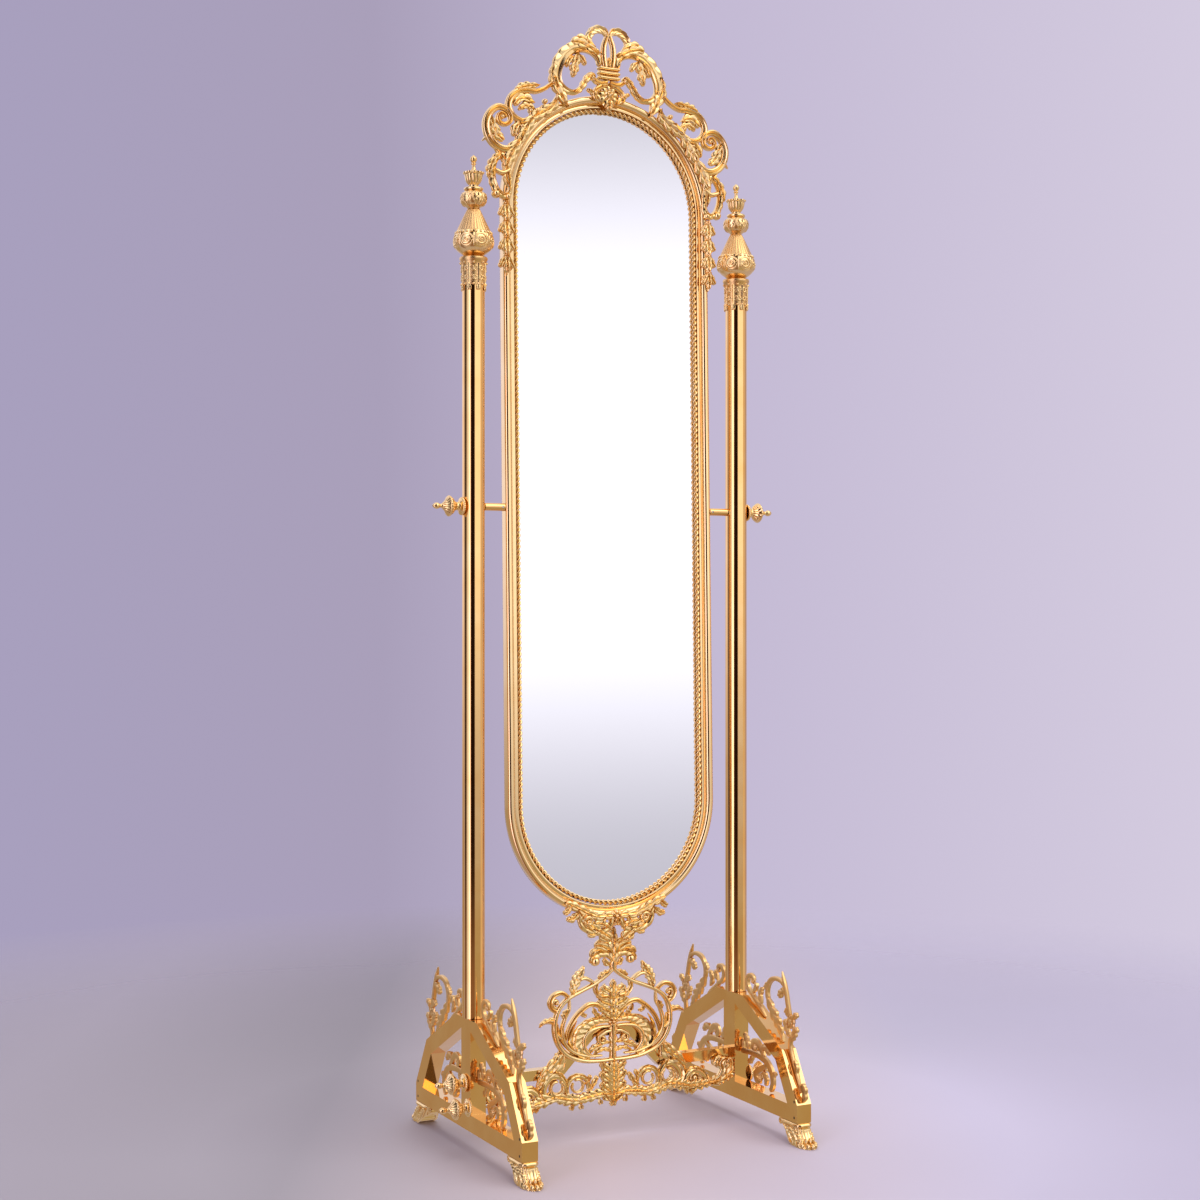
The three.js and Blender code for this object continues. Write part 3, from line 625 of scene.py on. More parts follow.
def fleur():
    half = Shell()
    leaf(half, [[4, 312, 5], [13, 320, 8], [24, 325, 7.5], [35, 326, 1.5]], 2, thick=9.5)
    leaf(half, [[4, 322, 5], [12, 329, 6], [23, 331, 5], [33, 329, 1.5]], 2, thick=8.5)
    relief(half, [[2, 305, 6], [14, 310.5, 7], [27, 310, 7.4], [37, 303.5, 7.4], [39, 296, 6]], "left_rim",
           thick=9.5, rib=14, bite=0.1, cut=0.25, slant=0.6)
    bead(half, 34, 299, 8.6, 11)
    leaf(half, [[3, 290, 4], [11, 294, 6], [18, 302, 1.5]], 2, thick=8.5)
    leaf(half, [[15, 314, 4], [26, 318, 6], [37, 316, 5], [43, 308, 1.5]], 2)
    whole = half.mirror()
    relief(whole, [[0, 281, 6], [0, 290, 7], [0, 300, 6]], "round", thick=9.5)
    leaf(whole, [[0, 288, 6], [0, 302, 11], [0, 316, 13], [0, 329, 9], [0, 342, 6.5], [0, 357, 1.2]], 4,
         thick=11.5)
    leaf(whole, [[0, 306, 3], [0, 320, 6.5], [0, 336, 4], [0, 347, 1]], 2, thick=13)
    return whole


def scroll_panel():
    half = Shell()
    # Oval frame of the panel and its ears.
    relief(half, [[0, 129.5, 3.8], [30, 129.5, 4], [60, 133.5, 4.4], [87, 145, 4.6], [103, 163, 4.8],
                  [110.5, 185, 4.8], [110, 205, 4.6], [103, 224, 4.2], [86, 240, 4], [60, 251.5, 4],
                  [36, 261, 4], [16, 272.5, 4], [0, 285, 4]], "round", thick=8.5)
    relief(half, [[20, 138, 2], [52, 140.5, 3], [78, 151, 3.6], [93, 168, 3.8], [97, 188, 3.6],
                  [92, 207, 3.4], [84, 222, 3], [83, 240, 2]], "round", thick=8)
    relief(half, [[60, 139, 0.8], [82, 153, 2.6], [97, 170, 3], [103, 186, 2.6], [104, 200, 0.6]], "keel",
           thick=6.5)
    relief(half, [[101, 219, 3.4], [113, 223, 4.2], [119.5, 235, 4.6], [113.5, 247, 4.6], [99, 251.5, 4.2],
                  [85, 243, 3.6]], "twin", thick=8.5)
    relief(half, volute(108.5, 235, 9, 3, -100, 0.8, 3.6, 2.4), "round", thick=8)
    bead(half, 107.5, 235, 4.2, 9)
    # Ribbed leaf and its strand on the shoulder.
    leaf(half, [[77, 243, 5], [75, 256, 9.5], [69, 271, 9.5], [61, 283, 5], [56, 293, 1.2]], 6, thick=9.5,
         bite=0.3)
    relief(half, [[36, 262, 2.6], [44, 268, 3.6], [55, 272.5, 3.8], [66, 270, 3]], "round")
    # Curl that hangs beside the palmette.
    relief(half, [[31, 263, 3], [34, 252, 4], [28, 242, 4.4], [17, 238, 4], [8, 238, 3]], "twin", thick=8.5)
    bead(half, 25, 245, 4.4, 9.5)
    leaf(half, [[4, 281, 3], [13, 279, 5], [22, 275, 4], [28, 270, 1.2]], 3, thick=8.5)
    # Branch that arches from the stem to the side.
    relief(half, [[9, 212, 3.4], [20, 218, 4.2], [33, 225.5, 4.6], [46, 226.5, 4.6], [58, 220, 4.4],
                  [70, 210.5, 4], [81, 197, 3.8], [88, 182, 3.2], [90, 167, 1]], "twin", thick=8.5)
    leaf(half, [[38, 222, 3], [35, 214, 5], [29, 207, 4], [24, 203, 1.2]], 3, thick=8.5)
    leaf(half, [[62, 219, 3], [57, 211, 4.5], [50, 208, 1.2]], 2, thick=8)
    leaf(half, [[86, 224, 4], [91, 216, 6], [94, 207, 1.5]], 3)
    # Broad ribbed scroll round the lower middle.
    relief(half, [[6, 197, 4], [30, 198.5, 7], [50, 192, 10.5], [64, 178, 12.5], [67, 161, 12],
                  [58, 146, 9], [44, 136, 5]], "left_rim", thick=9.5, rib=11, bite=0.08, cut=0.3, slant=0.6)
    relief(half, [[4, 187, 2.4], [24, 187, 3.2], [44, 182, 4], [55, 171, 4.4], [56, 157, 4.2],
                  [47, 144, 3.2], [32, 135, 0.8]], "round", thick=8.5)
    relief(half, [[68, 202, 0.6], [78, 185, 3.2], [82, 166, 3.6], [76, 150, 1]], "keel", thick=8)
    # Spirals beside the stem.
    relief(half, [[3, 179, 3], [14, 178, 3.6], [25, 172, 4]] + volute(21, 166, 8, 3, 30, -0.95, 3.8, 2.4),
           "round", thick=8.5)
    bead(half, 20.5, 165, 3.6, 9.5)
    leaf(half, [[4, 158, 3], [15, 160, 5], [27, 156, 6.5], [40, 150, 4], [44, 145, 1.2]], 4, thick=8.5)
    leaf(half, [[3, 143, 3], [16, 148, 4.5], [30, 145, 3], [37, 139, 1.2]], 3, thick=8)
    # Sprig on the outside.
    relief(half, [[106, 196, 4], [114, 202, 4], [125, 204, 3.6], [134, 201, 2.6], [139, 196, 1.2]], "keel",
           thick=8)
    leaf(half, [[106, 205, 3], [117, 207, 5], [129, 205, 4], [138, 200, 1.2]], 3, thick=8.5)
    relief(half, [[96, 173, 2.6], [104, 178, 3], [108, 186, 1.6]], "round", thick=8)
    whole = half.mirror()
    relief(whole, [[0, 128, 7], [0, 150, 6], [0, 172, 6], [0, 192, 7]], "round", thick=8)
    rosette(whole, 0, 194, 10, petals=6, height=11)
    for level in (135, 151, 168):
        leaf(whole, [[0, level, 5], [0, level + 9, 9], [0, level + 20, 1.5]], 2)
    for level, reach, size in [(197, 18, 7), (209, 22, 8), (221, 26, 8.4), (233, 27, 8), (243, 20, 7)]:
        for side in (-1, 1):
            leaf(whole, [[side * 2, level, 4], [side * 0.45 * reach, level + 4, size],
                         [side * 0.8 * reach, level + 8, size], [side * reach, level + 13, 1.5]], 2,
                 thick=9.2)
    leaf(whole, [[0, 192, 5], [0, 206, 8.5], [0, 222, 9], [0, 238, 9], [0, 252, 7], [0, 266, 1.2]], 4,
         thick=9.8)
    return whole


def garland():
    half = Shell()
    # Swag of leaves along the bottom, in overlapping lengths.
    swag = [[0, 70, 8], [22, 73, 9.5], [44, 71, 10.5], [66, 68, 11.5], [88, 71, 11.5], [110, 76, 11.5],
            [130, 73, 12.5], [152, 68, 11.5], [174, 68, 10], [196, 70, 9.5], [216, 73, 9],
            [237, 78, 8]]
    relief(half, [[u, v, 0.75 * wide] for u, v, wide in swag], "round", thick=6, pitch=3)
    for start in range(0, len(swag) - 2, 2):
        group = [list(row) for row in swag[start:start + 4]]
        group[0][2] *= 0.6
        group[-1][2] *= 0.35
        leaf(half, group, 5, thick=10.5 - 0.5 * (start % 4))
    # Rings that stand on it.
    relief(half, [[46, 82, 3.4], [49, 98, 4.4], [60, 107, 4.8], [73, 107.5, 4.8], [84, 101, 4.6],
                  [89, 88, 4.8], [86, 76, 3.6]], "left_rim", rib=11, bite=0.15, edge=1)
    relief(half, [[90, 82, 4], [91, 98, 5.4], [101, 111, 6.8], [116, 113, 7.4], [128, 103, 7.4],
                  [133, 87, 7], [126, 75, 5]], "left_rim", thick=10, rib=12, bite=0.15, edge=1)
    relief(half, volute(107, 92, 13, 11, 120, 0.95, 3.2, 3), "round", thick=8.5)
    relief(half, volute(68, 91, 11.5, 10, 60, 0.95, 2.6, 2.4), "round", thick=8)
    leaf(half, [[98, 104, 3], [106, 117, 6], [115, 121, 5], [124, 119, 1.5]], 3)
    leaf(half, [[52, 80, 4], [42, 86, 5], [35, 96, 5], [30, 104, 1.5]], 3)
    leaf(half, [[56, 92, 3], [47, 99, 4.5], [43, 107, 1.5]], 2, thick=8)
    relief(half, [[139, 72, 5], [143, 86, 6.4], [154, 94, 6.8], [168, 93, 6.6], [179, 85, 6], [185, 74, 5]],
           "left_rim", thick=9.5, rib=11, bite=0.15, edge=1)
    bead(half, 160, 81, 5.4, 9.5)
    relief(half, volute(160, 80, 9, 7.5, 200, -0.9, 2.4, 2.2), "round", thick=8)
    relief(half, [[200, 70, 5], [211, 77, 6], [217, 89, 6], [213, 101, 5], [221, 108, 3.6],
                  [228, 104, 1.8]], "twin")
    leaf(half, [[190, 66, 6], [206, 70, 10], [221, 80, 11], [231, 94, 8], [230, 108, 2]], 4, thick=10.5)
    leaf(half, [[206, 92, 3], [203, 101, 5], [208, 110, 3], [214, 114, 1.2]], 3)
    # Leaves that climb from the swag to the corners of the panel.
    leaf(half, [[146, 92, 6], [134, 106, 11], [119, 118, 14], [104, 131, 11], [95, 148, 1.5]], 4, thick=9.5)
    leaf(half, [[140, 108, 5], [128, 121, 9], [114, 133, 8], [103, 147, 1.5]], 3, thick=8.5)
    # Tufts under the swag.
    for u, v, lean_u in [(26, 66, -3), (62, 62, -2), (76, 62, 4), (140, 66, 8), (150, 64, 7)]:
        leaf(half, [[u, v, 4], [u + 0.5 * lean_u, v - 5, 5], [u + lean_u, v - 11, 1.4]], 2, thick=9.5)
    whole = half.mirror()
    # Column of leaves in the middle, over the foot of the panel.
    relief(whole, [[0, 58, 8], [0, 76, 13], [0, 100, 15], [0, 126, 15]], "round", thick=7)
    for level, reach in [(60, 16), (77, 21), (95, 22), (112, 21)]:
        for side in (-1, 1):
            leaf(whole, [[side * 3, level - 3, 5], [side * 0.5 * reach, level + 2, 8],
                         [side * 0.85 * reach, level + 8, 6], [side * (reach + 1), level + 15, 1.5]], 2,
                 thick=10)
        leaf(whole, [[0, level - 2, 5], [0, level + 8, 8.5], [0, level + 20, 1.5]], 2, thick=10.2)
    leaf(whole, [[0, 66, 5], [0, 58, 7], [0, 50, 1.5]], 2, thick=9.6)
    return whole


# ---------------------------------------------------------------- ornament on the trestles

def beside_leg(share, away):
    """A point beside the outer edge of the lower leg: share 0 at the foot and 1 at the shoulder."""
    run, rise = BAR_END - SHOULDER[0], SHOULDER[1] - LEG_FOOT_Z
    length = math.hypot(run, rise)
    return [BAR_END - run * share + away * rise / length, LEG_FOOT_Z + rise * share + away * run / length]


def above_roof(share, away):
    """A point above the outer edge of the upper leg: share 0 at the shoulder and 1 at the apex."""
    run, rise = SHOULDER[0] - APEX[0], APEX[1] - SHOULDER[1]
    length = math.hypot(run, rise)
    return [SHOULDER[0] - run * share + away * rise / length,
            SHOULDER[1] + rise * share + away * run / length]


def vine():
    """Sprays beside the lower leg, a tall loop over the shoulder and a small one near the post."""
    shell = Shell()
    flat = {"form": "flat", "thick": 3.6, "base": 0.8, "both": True, "widen": 1.05}
    relief(shell, [[*beside_leg(0.2, 1), 1.2], [*beside_leg(0.45, 4), 2.6], [*beside_leg(0.8, 5), 3],
                   [*beside_leg(1.02, 8), 3.4], [182, 178, 3.4]], **flat)
    leaf(shell, [[*beside_leg(0.03, 0), 3], [*beside_leg(0.1, 8), 6], [*beside_leg(0.22, 13), 6],
                 [*beside_leg(0.33, 12), 1.2]], 3, **flat)
    leaf(shell, [[*beside_leg(0.5, 4), 2], [*beside_leg(0.62, 9), 4.5], [*beside_leg(0.76, 11), 1.2]], 2,
         **flat)
    leaf(shell, [[182, 166, 3], [189, 176, 6], [194, 186, 6], [201, 192, 1.5]], 4, **flat)
    leaf(shell, [[178, 172, 3], [170, 184, 7], [165, 194, 5], [160, 200, 1.4]], 4, **flat)
    rosette(shell, 181, 200, 13.5, petals=5, height=4.2, turn=0.4, both=True)
    leaf(shell, [[186, 204, 4], [194, 212, 5], [201, 216, 1.4]], 3, **flat)
    leaf(shell, [[176, 206, 4], [170, 214, 6], [164, 218, 1.4]], 3, **flat)
    relief(shell, [[178, 208, 3], [172, 226, 3.4], [167, 244, 3.4], [162, 258, 3.2], [157, 270, 2.2],
                   [153, 281, 0.5]], **flat)
    leaf(shell, [[166, 247, 3], [158, 248, 6.5], [150, 243, 6], [144, 236, 1.4]], 3, **flat)
    relief(shell, [[164, 254, 2], [151, 263.5, 3], [134, 265.5, 3.6], [119, 261, 4], [109, 250, 4],
                   [106, 238, 3.8], [108, 226, 3.6]], **flat)
    leaf(shell, [[114, 256, 3], [105, 250, 4.5], [98, 243, 1.4]], 2, **flat)
    leaf(shell, [[105, 232, 4], [114, 219, 9], [127, 204, 11], [141, 189, 8], [152, 174, 4],
                 [158, 162, 1.4]], 5, **flat)
    relief(shell, [[*above_roof(0.56, 2), 1.2], [*above_roof(0.68, 5), 3.6], [*above_roof(0.82, 7), 3.6],
                   [*above_roof(0.94, 9), 3.2]], **flat)
    relief(shell, [[64, 225, 3], [50, 229, 4], [41, 238, 4.2], [41, 250, 4.2], [50, 257.5, 3.8],
                   [60, 255, 3], [63, 248, 2]], **flat)
    rosette(shell, 59, 249, 6, petals=5, height=5, both=True)
    leaf(shell, [[60, 228, 3], [68, 238, 5], [70, 247, 1.2]], 2, **flat)
    leaf(shell, [[88, 214, 3], [83, 226, 5.5], [87, 238, 3.4], [92, 242, 1.2]], 3, **flat)
    return shell


def opening_scroll():
    """Flat scrolls that fill the opening under a leg."""
    shell = Shell()
    flat = {"form": "flat", "thick": 3.2, "base": 0.8, "both": True, "widen": 1.15}
    relief(shell, [[117, 68, 3.4], [124, 82, 4.8], [121, 100, 5.2], [108, 114, 5.2], [88, 121, 5],
                   [60, 123, 4.6], [21, 121, 4]], **flat)
    relief(shell, [[97, 121, 3], [86, 135, 4.6], [73, 145, 5], [62, 143, 4.6], [59, 134, 4], [67, 129, 3]],
           **flat)
    rosette(shell, 68, 136, 6, petals=5, height=4.6, both=True)
    leaf(shell, [[84, 136, 3], [96, 140, 6], [106, 137, 5], [113, 130, 1.3]], 3, **flat)
    leaf(shell, [[46, 124, 3], [41, 137, 5.5], [35, 147, 4], [31, 153, 1.2]], 3, **flat)
    leaf(shell, [[28, 122, 3], [24, 132, 4.5], [25, 142, 1.2]], 2, **flat)
    relief(shell, [[106, 112, 3], [92, 103, 4.4], [77, 96, 5], [68, 87, 5], [74, 78, 4.4], [85, 78, 3]],
           **flat)
    rosette(shell, 83, 84, 6.5, petals=5, height=4.6, both=True)
    leaf(shell, [[90, 99, 3], [99, 92, 5.5], [103, 83, 4], [101, 75, 1.2]], 3, **flat)
    leaf(shell, [[60, 120, 3], [52, 110, 5], [44, 104, 1.3]], 3, **flat)
    leaf(shell, [[118, 88, 3], [127, 98, 4], [134, 104, 1.2]], 2, **flat)
    return shell


def mitre_leaf():
    shell = Shell()
    for level, reach in [(109, 6), (121, 6)]:
        relief(shell, [[139, level, 5], [126, level + 1, 5.5], [114, level + 6, 5], [105, level + 14, 4],
                       [99, level + 24, 1.4]], "leaf", thick=3.4, base=0.8, rib=9, bite=0.4, sweep=0.9)
    leaf(shell, [[142, 113, 8], [127, 116, 13], [112, 122, 15], [101, 135, 12], [93, 153, 1.5]], 4,
         thick=3.8, base=0.8)
    relief(shell, [[133, 105, 1.8], [133, 126, 1.8]], "round", thick=3.8, base=0.8)
    return shell


# ---------------------------------------------------------------- materials

def new_material(name):
    material = bpy.data.materials.new(name)
    material.use_nodes = True
    return material, material.node_tree, material.node_tree.nodes["Principled BSDF"]


def math_node(tree, operation, *values):
    """A math node fed with numbers and with sockets of other nodes."""
    node = tree.nodes.new("ShaderNodeMath")
    node.operation = operation
    for socket, value in enumerate(values):
        if isinstance(value, bpy.types.NodeSocket):
            tree.links.new(value, node.inputs[socket])
        else:
            node.inputs[socket].default_value = value
    return node.outputs[0]


def noise(tree, scale, detail=3.0, roughness=0.5, stretch=(1, 1, 1)):
    """Noise in the object's own space, scale per metre."""
    place = tree.nodes.new("ShaderNodeTexCoord")
    mapping = tree.nodes.new("ShaderNodeMapping")
    mapping.inputs["Scale"].default_value = stretch
    texture = tree.nodes.new("ShaderNodeTexNoise")
    texture.inputs["Scale"].default_value = scale
    texture.inputs["Detail"].default_value = detail
    texture.inputs["Roughness"].default_value = roughness
    tree.links.new(place.outputs["Object"], mapping.inputs["Vector"])
    tree.links.new(mapping.outputs["Vector"], texture.inputs["Vector"])
    return texture.outputs["Fac"]


def ramp(tree, factor, stops):
    """Colours along a factor, stops [(position, (r, g, b))]."""
    node = tree.nodes.new("ShaderNodeValToRGB")
    while len(node.color_ramp.elements) < len(stops):
        node.color_ramp.elements.new(0.5)
    for element, (position, colour) in zip(node.color_ramp.elements, stops):
        element.position = position
        element.color = (*colour, 1.0)
    tree.links.new(factor, node.inputs["Fac"])
    return node.outputs["Color"]


def spread(tree, factor, low, high, from_low=0.3, from_high=0.7):
    node = tree.nodes.new("ShaderNodeMapRange")
    node.inputs["From Min"].default_value = from_low
    node.inputs["From Max"].default_value = from_high
    node.inputs["To Min"].default_value = low
    node.inputs["To Max"].default_value = high
    tree.links.new(factor, node.inputs["Value"])
    return node.outputs["Result"]


def blend(tree, factor, first, second, how="MIX"):
    node = tree.nodes.new("ShaderNodeMix")
    node.data_type = "RGBA"
    node.blend_type = how
    for socket, value in ((0, factor), (6, first), (7, second)):
        if isinstance(value, bpy.types.NodeSocket):
            tree.links.new(value, node.inputs[socket])
        else:
            node.inputs[socket].default_value = value
    return node.outputs[2]


def bump(tree, shader, height, strength, distance):
    node = tree.nodes.new("ShaderNodeBump")
    node.inputs["Strength"].default_value = strength
    node.inputs["Distance"].default_value = distance
    tree.links.new(height, node.inputs["Height"])
    tree.links.new(node.outputs["Normal"], shader.inputs["Normal"])


def brass(name, pale, deep, smooth, rough, grain=0.0, hollow=0.0, hammer=0.0):
    """Brass that varies a little in colour and polish. grain is a fine cast skin, hammer a slow
    waviness, and hollow sets how much painted shade darkens its colour where it is closed in, and how
    much its polish dulls there."""
    material, tree, shader = new_material(name)
    shader.inputs["Metallic"].default_value = 1.0
    colour = ramp(tree, noise(tree, 22, 4), [(0.3, deep), (0.7, pale)])
    polish = spread(tree, noise(tree, 60, 5, 0.65), smooth, rough)
    if hollow:
        # Painted shade: the colour darkens to a deep brown where ambient occlusion finds the surface closed
        # in, and the polish dulls there.
        shade = tree.nodes.new("ShaderNodeAmbientOcclusion")
        shade.samples = 6
        shade.inputs["Distance"].default_value = 0.007
        hollow_shade_colour = tuple(channel * k for channel, k in zip(deep, (0.55, 0.42, 0.28)))
        closed = spread(tree, shade.outputs["AO"], hollow, 0.0, 0.1, 0.75)
        colour = blend(tree, closed, colour, (*hollow_shade_colour, 1.0))
        polish = math_node(tree, "MULTIPLY_ADD", closed, 0.25, polish)
    tree.links.new(colour, shader.inputs["Base Color"])
    tree.links.new(polish, shader.inputs["Roughness"])
    if grain:
        bump(tree, shader, noise(tree, 900, 3, 0.6), grain, 0.0004)
    elif hammer:
        bump(tree, shader, noise(tree, 14, 1), hammer, 0.002)
    return material


PALE, DEEP = (0.97, 0.63, 0.27), (0.93, 0.55, 0.20)
POLISHED = brass("polished_brass", PALE, DEEP, 0.05, 0.09, hammer=0.03)
FRAME_BRASS = brass("frame_brass", (0.97, 0.70, 0.36), (0.94, 0.64, 0.30), 0.08, 0.13, hammer=0.03)
STRETCHER_BRASS = brass("stretcher_brass", (0.99, 0.70, 0.32), (0.96, 0.62, 0.25), 0.05, 0.09, hammer=0.03)
CAST = brass("cast_brass", (0.99, 0.74, 0.36), (0.95, 0.63, 0.26), 0.12, 0.22, grain=0.1, hollow=0.4)
SATIN = brass("satin_brass", (0.86, 0.57, 0.25), (0.80, 0.49, 0.19), 0.28, 0.38, grain=0.1)


def silvered_glass():
    """Mirror glass: nearly flawless, with the faintest haze."""
    material, tree, shader = new_material("mirror_silver")
    shader.inputs["Metallic"].default_value = 1.0
    shader.inputs["Base Color"].default_value = (0.93, 0.93, 0.95, 1)
    tree.links.new(spread(tree, noise(tree, 5, 3), 0.004, 0.02), shader.inputs["Roughness"])
    return material


def dark_board():
    """Stained wooden backing board with an upright grain."""
    material, tree, shader = new_material("stained_board")
    grain = noise(tree, 30, 6, 0.6, (1, 1, 0.05))
    colour = ramp(tree, grain, [(0.3, (0.018, 0.009, 0.005)), (0.5, (0.04, 0.021, 0.011)),
                                (0.7, (0.07, 0.038, 0.02))])
    tree.links.new(colour, shader.inputs["Base Color"])
    tree.links.new(spread(tree, grain, 0.45, 0.65), shader.inputs["Roughness"])
    bump(tree, shader, grain, 0.25, 0.0006)
    return material


def steel(name, deep, pale):
    material, tree, shader = new_material(name)
    shader.inputs["Metallic"].default_value = 1.0
    colour = ramp(tree, noise(tree, 40, 3), [(0.3, deep), (0.7, pale)])
    tree.links.new(colour, shader.inputs["Base Color"])
    tree.links.new(spread(tree, noise(tree, 300, 4), 0.25, 0.4), shader.inputs["Roughness"])
    return material


GLASS = silvered_glass()
BOARD = dark_board()
STEEL = steel("plain_steel", (0.42, 0.42, 0.43), (0.55, 0.55, 0.56))
BLUED_STEEL = steel("blued_steel", (0.03, 0.025, 0.02), (0.07, 0.055, 0.045))


# ---------------------------------------------------------------- stand

def bored(piece, start, end, radius):
    """Drills a straight bore through a finished piece, from start to end."""
    axis = Vector(end) - Vector(start)
    work = bmesh.new()
    turn = axis.to_track_quat("Z", "Y").to_matrix().to_4x4()
    turn.translation = (Vector(start) + Vector(end)) / 2 * MM
    bmesh.ops.create_cone(work, cap_ends=True, segments=40, radius1=radius * MM, radius2=radius * MM,
                          depth=axis.length * MM, matrix=turn)
    drill = bpy.data.objects.new("drill", bpy.data.meshes.new("drill"))
    work.to_mesh(drill.data)
    work.free()
    bpy.context.scene.collection.objects.link(drill)
    cut = piece.modifiers.new("bore", "BOOLEAN")
    cut.operation = "DIFFERENCE"
    cut.solver = "EXACT"
    cut.object = drill
    bpy.context.view_layer.update()
    shape = piece.evaluated_get(bpy.context.evaluated_depsgraph_get())
    mesh = bpy.data.meshes.new_from_object(shape)
    piece.modifiers.clear()
    piece.data = mesh
    mesh.shade_smooth()
    mesh.set_sharp_from_angle(angle=math.radians(40))
    bpy.data.objects.remove(drill)


def foot():
    """Hollow cast foot: a lip under the bar, leafy sides and toes that turn out. u is the distance
    towards the toe, v the height and h across."""
    shell = Shell()
    angles = np.linspace(0, 2 * math.pi, 120, endpoint=False)
    cosine, sine = np.cos(angles), np.sin(angles)

    def outline(centre, long, wide, squareness):
        power = 2 / squareness
        return (centre + long * np.sign(cosine) * np.abs(cosine) ** power,
                wide * np.sign(sine) * np.abs(sine) ** power)

    top_u, top_h = outline(195, 29.5, 15, 4.2)
    low_u, low_h = outline(215, 33, 17, 2.5)
    low_v = 19 * np.clip((210 - low_u) / 28, 0, 1) ** 1.3
    toward_toe = np.clip(cosine, 0, 1)
    folds = np.abs(np.sin(6 * angles + 0.3 * np.sin(2 * angles)))
    rings = []

    def ring(share, swell, inside=0.0):
        ease = share ** (1 + 1.5 * toward_toe)
        u = top_u + (low_u - top_u) * ease
        h = top_h + (low_h - top_h) * share
        v = FOOT_TOP + (low_v - FOOT_TOP) * share
        crease = 2.2 * min(1, 3 * share) * (1 - folds ** 0.7) if not inside else 0.0
        grow = swell - crease - inside
        length = np.hypot(cosine, sine)
        rings.append(np.column_stack([u + grow * cosine / length, v, h + grow * sine / length]))

    for share, swell in [(0.0, -1.5), (0.012, 0.4), (0.05, 1.6), (0.10, 2.0), (0.15, 1.4), (0.19, 0.0),
                         (0.23, -0.6), (0.32, 0.0), (0.42, 0.3), (0.52, 0.4), (0.62, 0.4), (0.72, 0.6),
                         (0.80, 1.1), (0.87, 1.6), (0.93, 1.6), (0.97, 1.1), (1.0, 0.0)]:
        ring(share, swell)
    for share, inside in [(1.0, 2.0), (0.9, 3.4), (0.7, 3.6), (0.5, 4.0), (0.42, 6)]:
        ring(share, 0.0, inside)
    shell.loft(rings)
    # Heel: a scroll rolled under the end of the leaf.
    relief(shell, [[178, 30, 1.8], [171, 35.5, 2]] + volute(166.5, 31, 5.6, 2.2, 70, 1.1, 2.0, 1.5),
           "round", thick=13, base=11.5, both=True)
    # Leaves on the sides, and the toes.
    flat = {"base": 13, "both": True, "bite": 0.35}
    leaf(shell, [[179, 30, 4], [190, 24, 7], [201, 15, 7], [211, 4, 2]], 5, thick=17.0, **flat)
    leaf(shell, [[199, 30, 4], [209, 25, 7], [219, 17, 7], [229, 6, 2]], 5, thick=17.4, **flat)
    for angle, size in [(0, 5.2), (24, 4.8), (-24, 4.8), (50, 4.6), (-50, 4.6)]:
        a = math.radians(angle)
        ball(shell, 212.5 + 33 * math.cos(a), 5, 17 * math.sin(a), size, (1.5, 0.95, 0.75))
        ball(shell, 208 + 31 * math.cos(a), 11.5, 16.4 * math.sin(a), 0.9 * size, (1.1, 1.3, 0.62))
    return shell


def ball(shell, u, v, h, radius, stretch):
    """A ball stretched along u, v and h."""
    steps = 16
    angles = np.linspace(0, 2 * math.pi, steps, endpoint=False)
    rings = []
    for tilt in np.linspace(-math.pi / 2 + 0.12, math.pi / 2 - 0.12, 9):
        reach = radius * math.cos(tilt)
        rings.append(np.column_stack([u + stretch[0] * reach * np.cos(angles),
                                      np.full(steps, v + stretch[1] * radius * math.sin(tilt)),
                                      h + stretch[2] * reach * np.sin(angles)]))
    shell.loft(rings)


def screw(shell, u, v, radius, h):
    """Slotted screw heads on both sides of a bar, h from its middle."""
    steps = 20
    angles = np.linspace(0, 2 * math.pi, steps, endpoint=False)
    dip = np.where(np.abs(np.sin(angles)) < 0.25, 0.5, 0.0)
    for side in (-1, 1):
        shell.loft([circle(u, v, radius * reach, side * (h + level - (dip if level > 0.1 else 0)), steps)
                    for reach, level in [(0.2, 0.35), (0.55, 0.35), (0.9, 0.2), (1.0, 0.0), (1.0, -1.5)]])


def add_knob(name, bore, deep, place, body, node):
    """Ribbed cup and dome on a pearled flange, with a bead on its tip; stands along +Z from 0, with a
    bore from its foot."""
    profile = [[0, deep], [bore, deep], [bore, 0], [13.4, 0], [14.4, 0.6], [14.9, 1.8], [14.6, 3.4],
               [13.4, 4.6], [10.6, 5.4], [8.2, 7], [7.0, 9.4], [6.9, 12], [8.0, 14.4], [10.6, 16.6],
               [13.6, 19], [15.6, 21.6], [17.0, 24], [17.2, 25.6], [16.2, 27.2], [13.8, 28.6],
               [10.8, 30.4], [8.0, 32.8], [6.0, 35.2], [4.6, 36.6], [3.6, 38.2], [3.2, 40.2],
               [3.6, 41.8], [4.6, 43.2], [5.3, 45.4], [5.3, 47.8], [4.4, 50.4], [2.6, 52.8], [0, 54.2]]

    def ribs(angle, height):
        cup = window(height, 12.5, 22.5, 2.5) * -1.5 * (1 - np.abs(np.cos(6 * angle)) ** 0.7)
        dome = window(height, 27.6, 35.5, 2) * -1.1 * (1 - np.abs(np.cos(6 * angle)) ** 0.7)
        rim = window(height, 22.8, 27, 0.8) * 0.8 * (np.abs(np.cos(12 * angle)) ** 0.7 - 0.6)
        flange = window(height, 0.8, 4.4, 0.8) * 0.7 * (np.abs(np.cos(14 * angle)) ** 0.7 - 0.6)
        return cup + dome + rim + flange

    add_turned(name, profile, 168, place, CAST, body, node, dent=ribs, pitch=0.6, inside=bore)


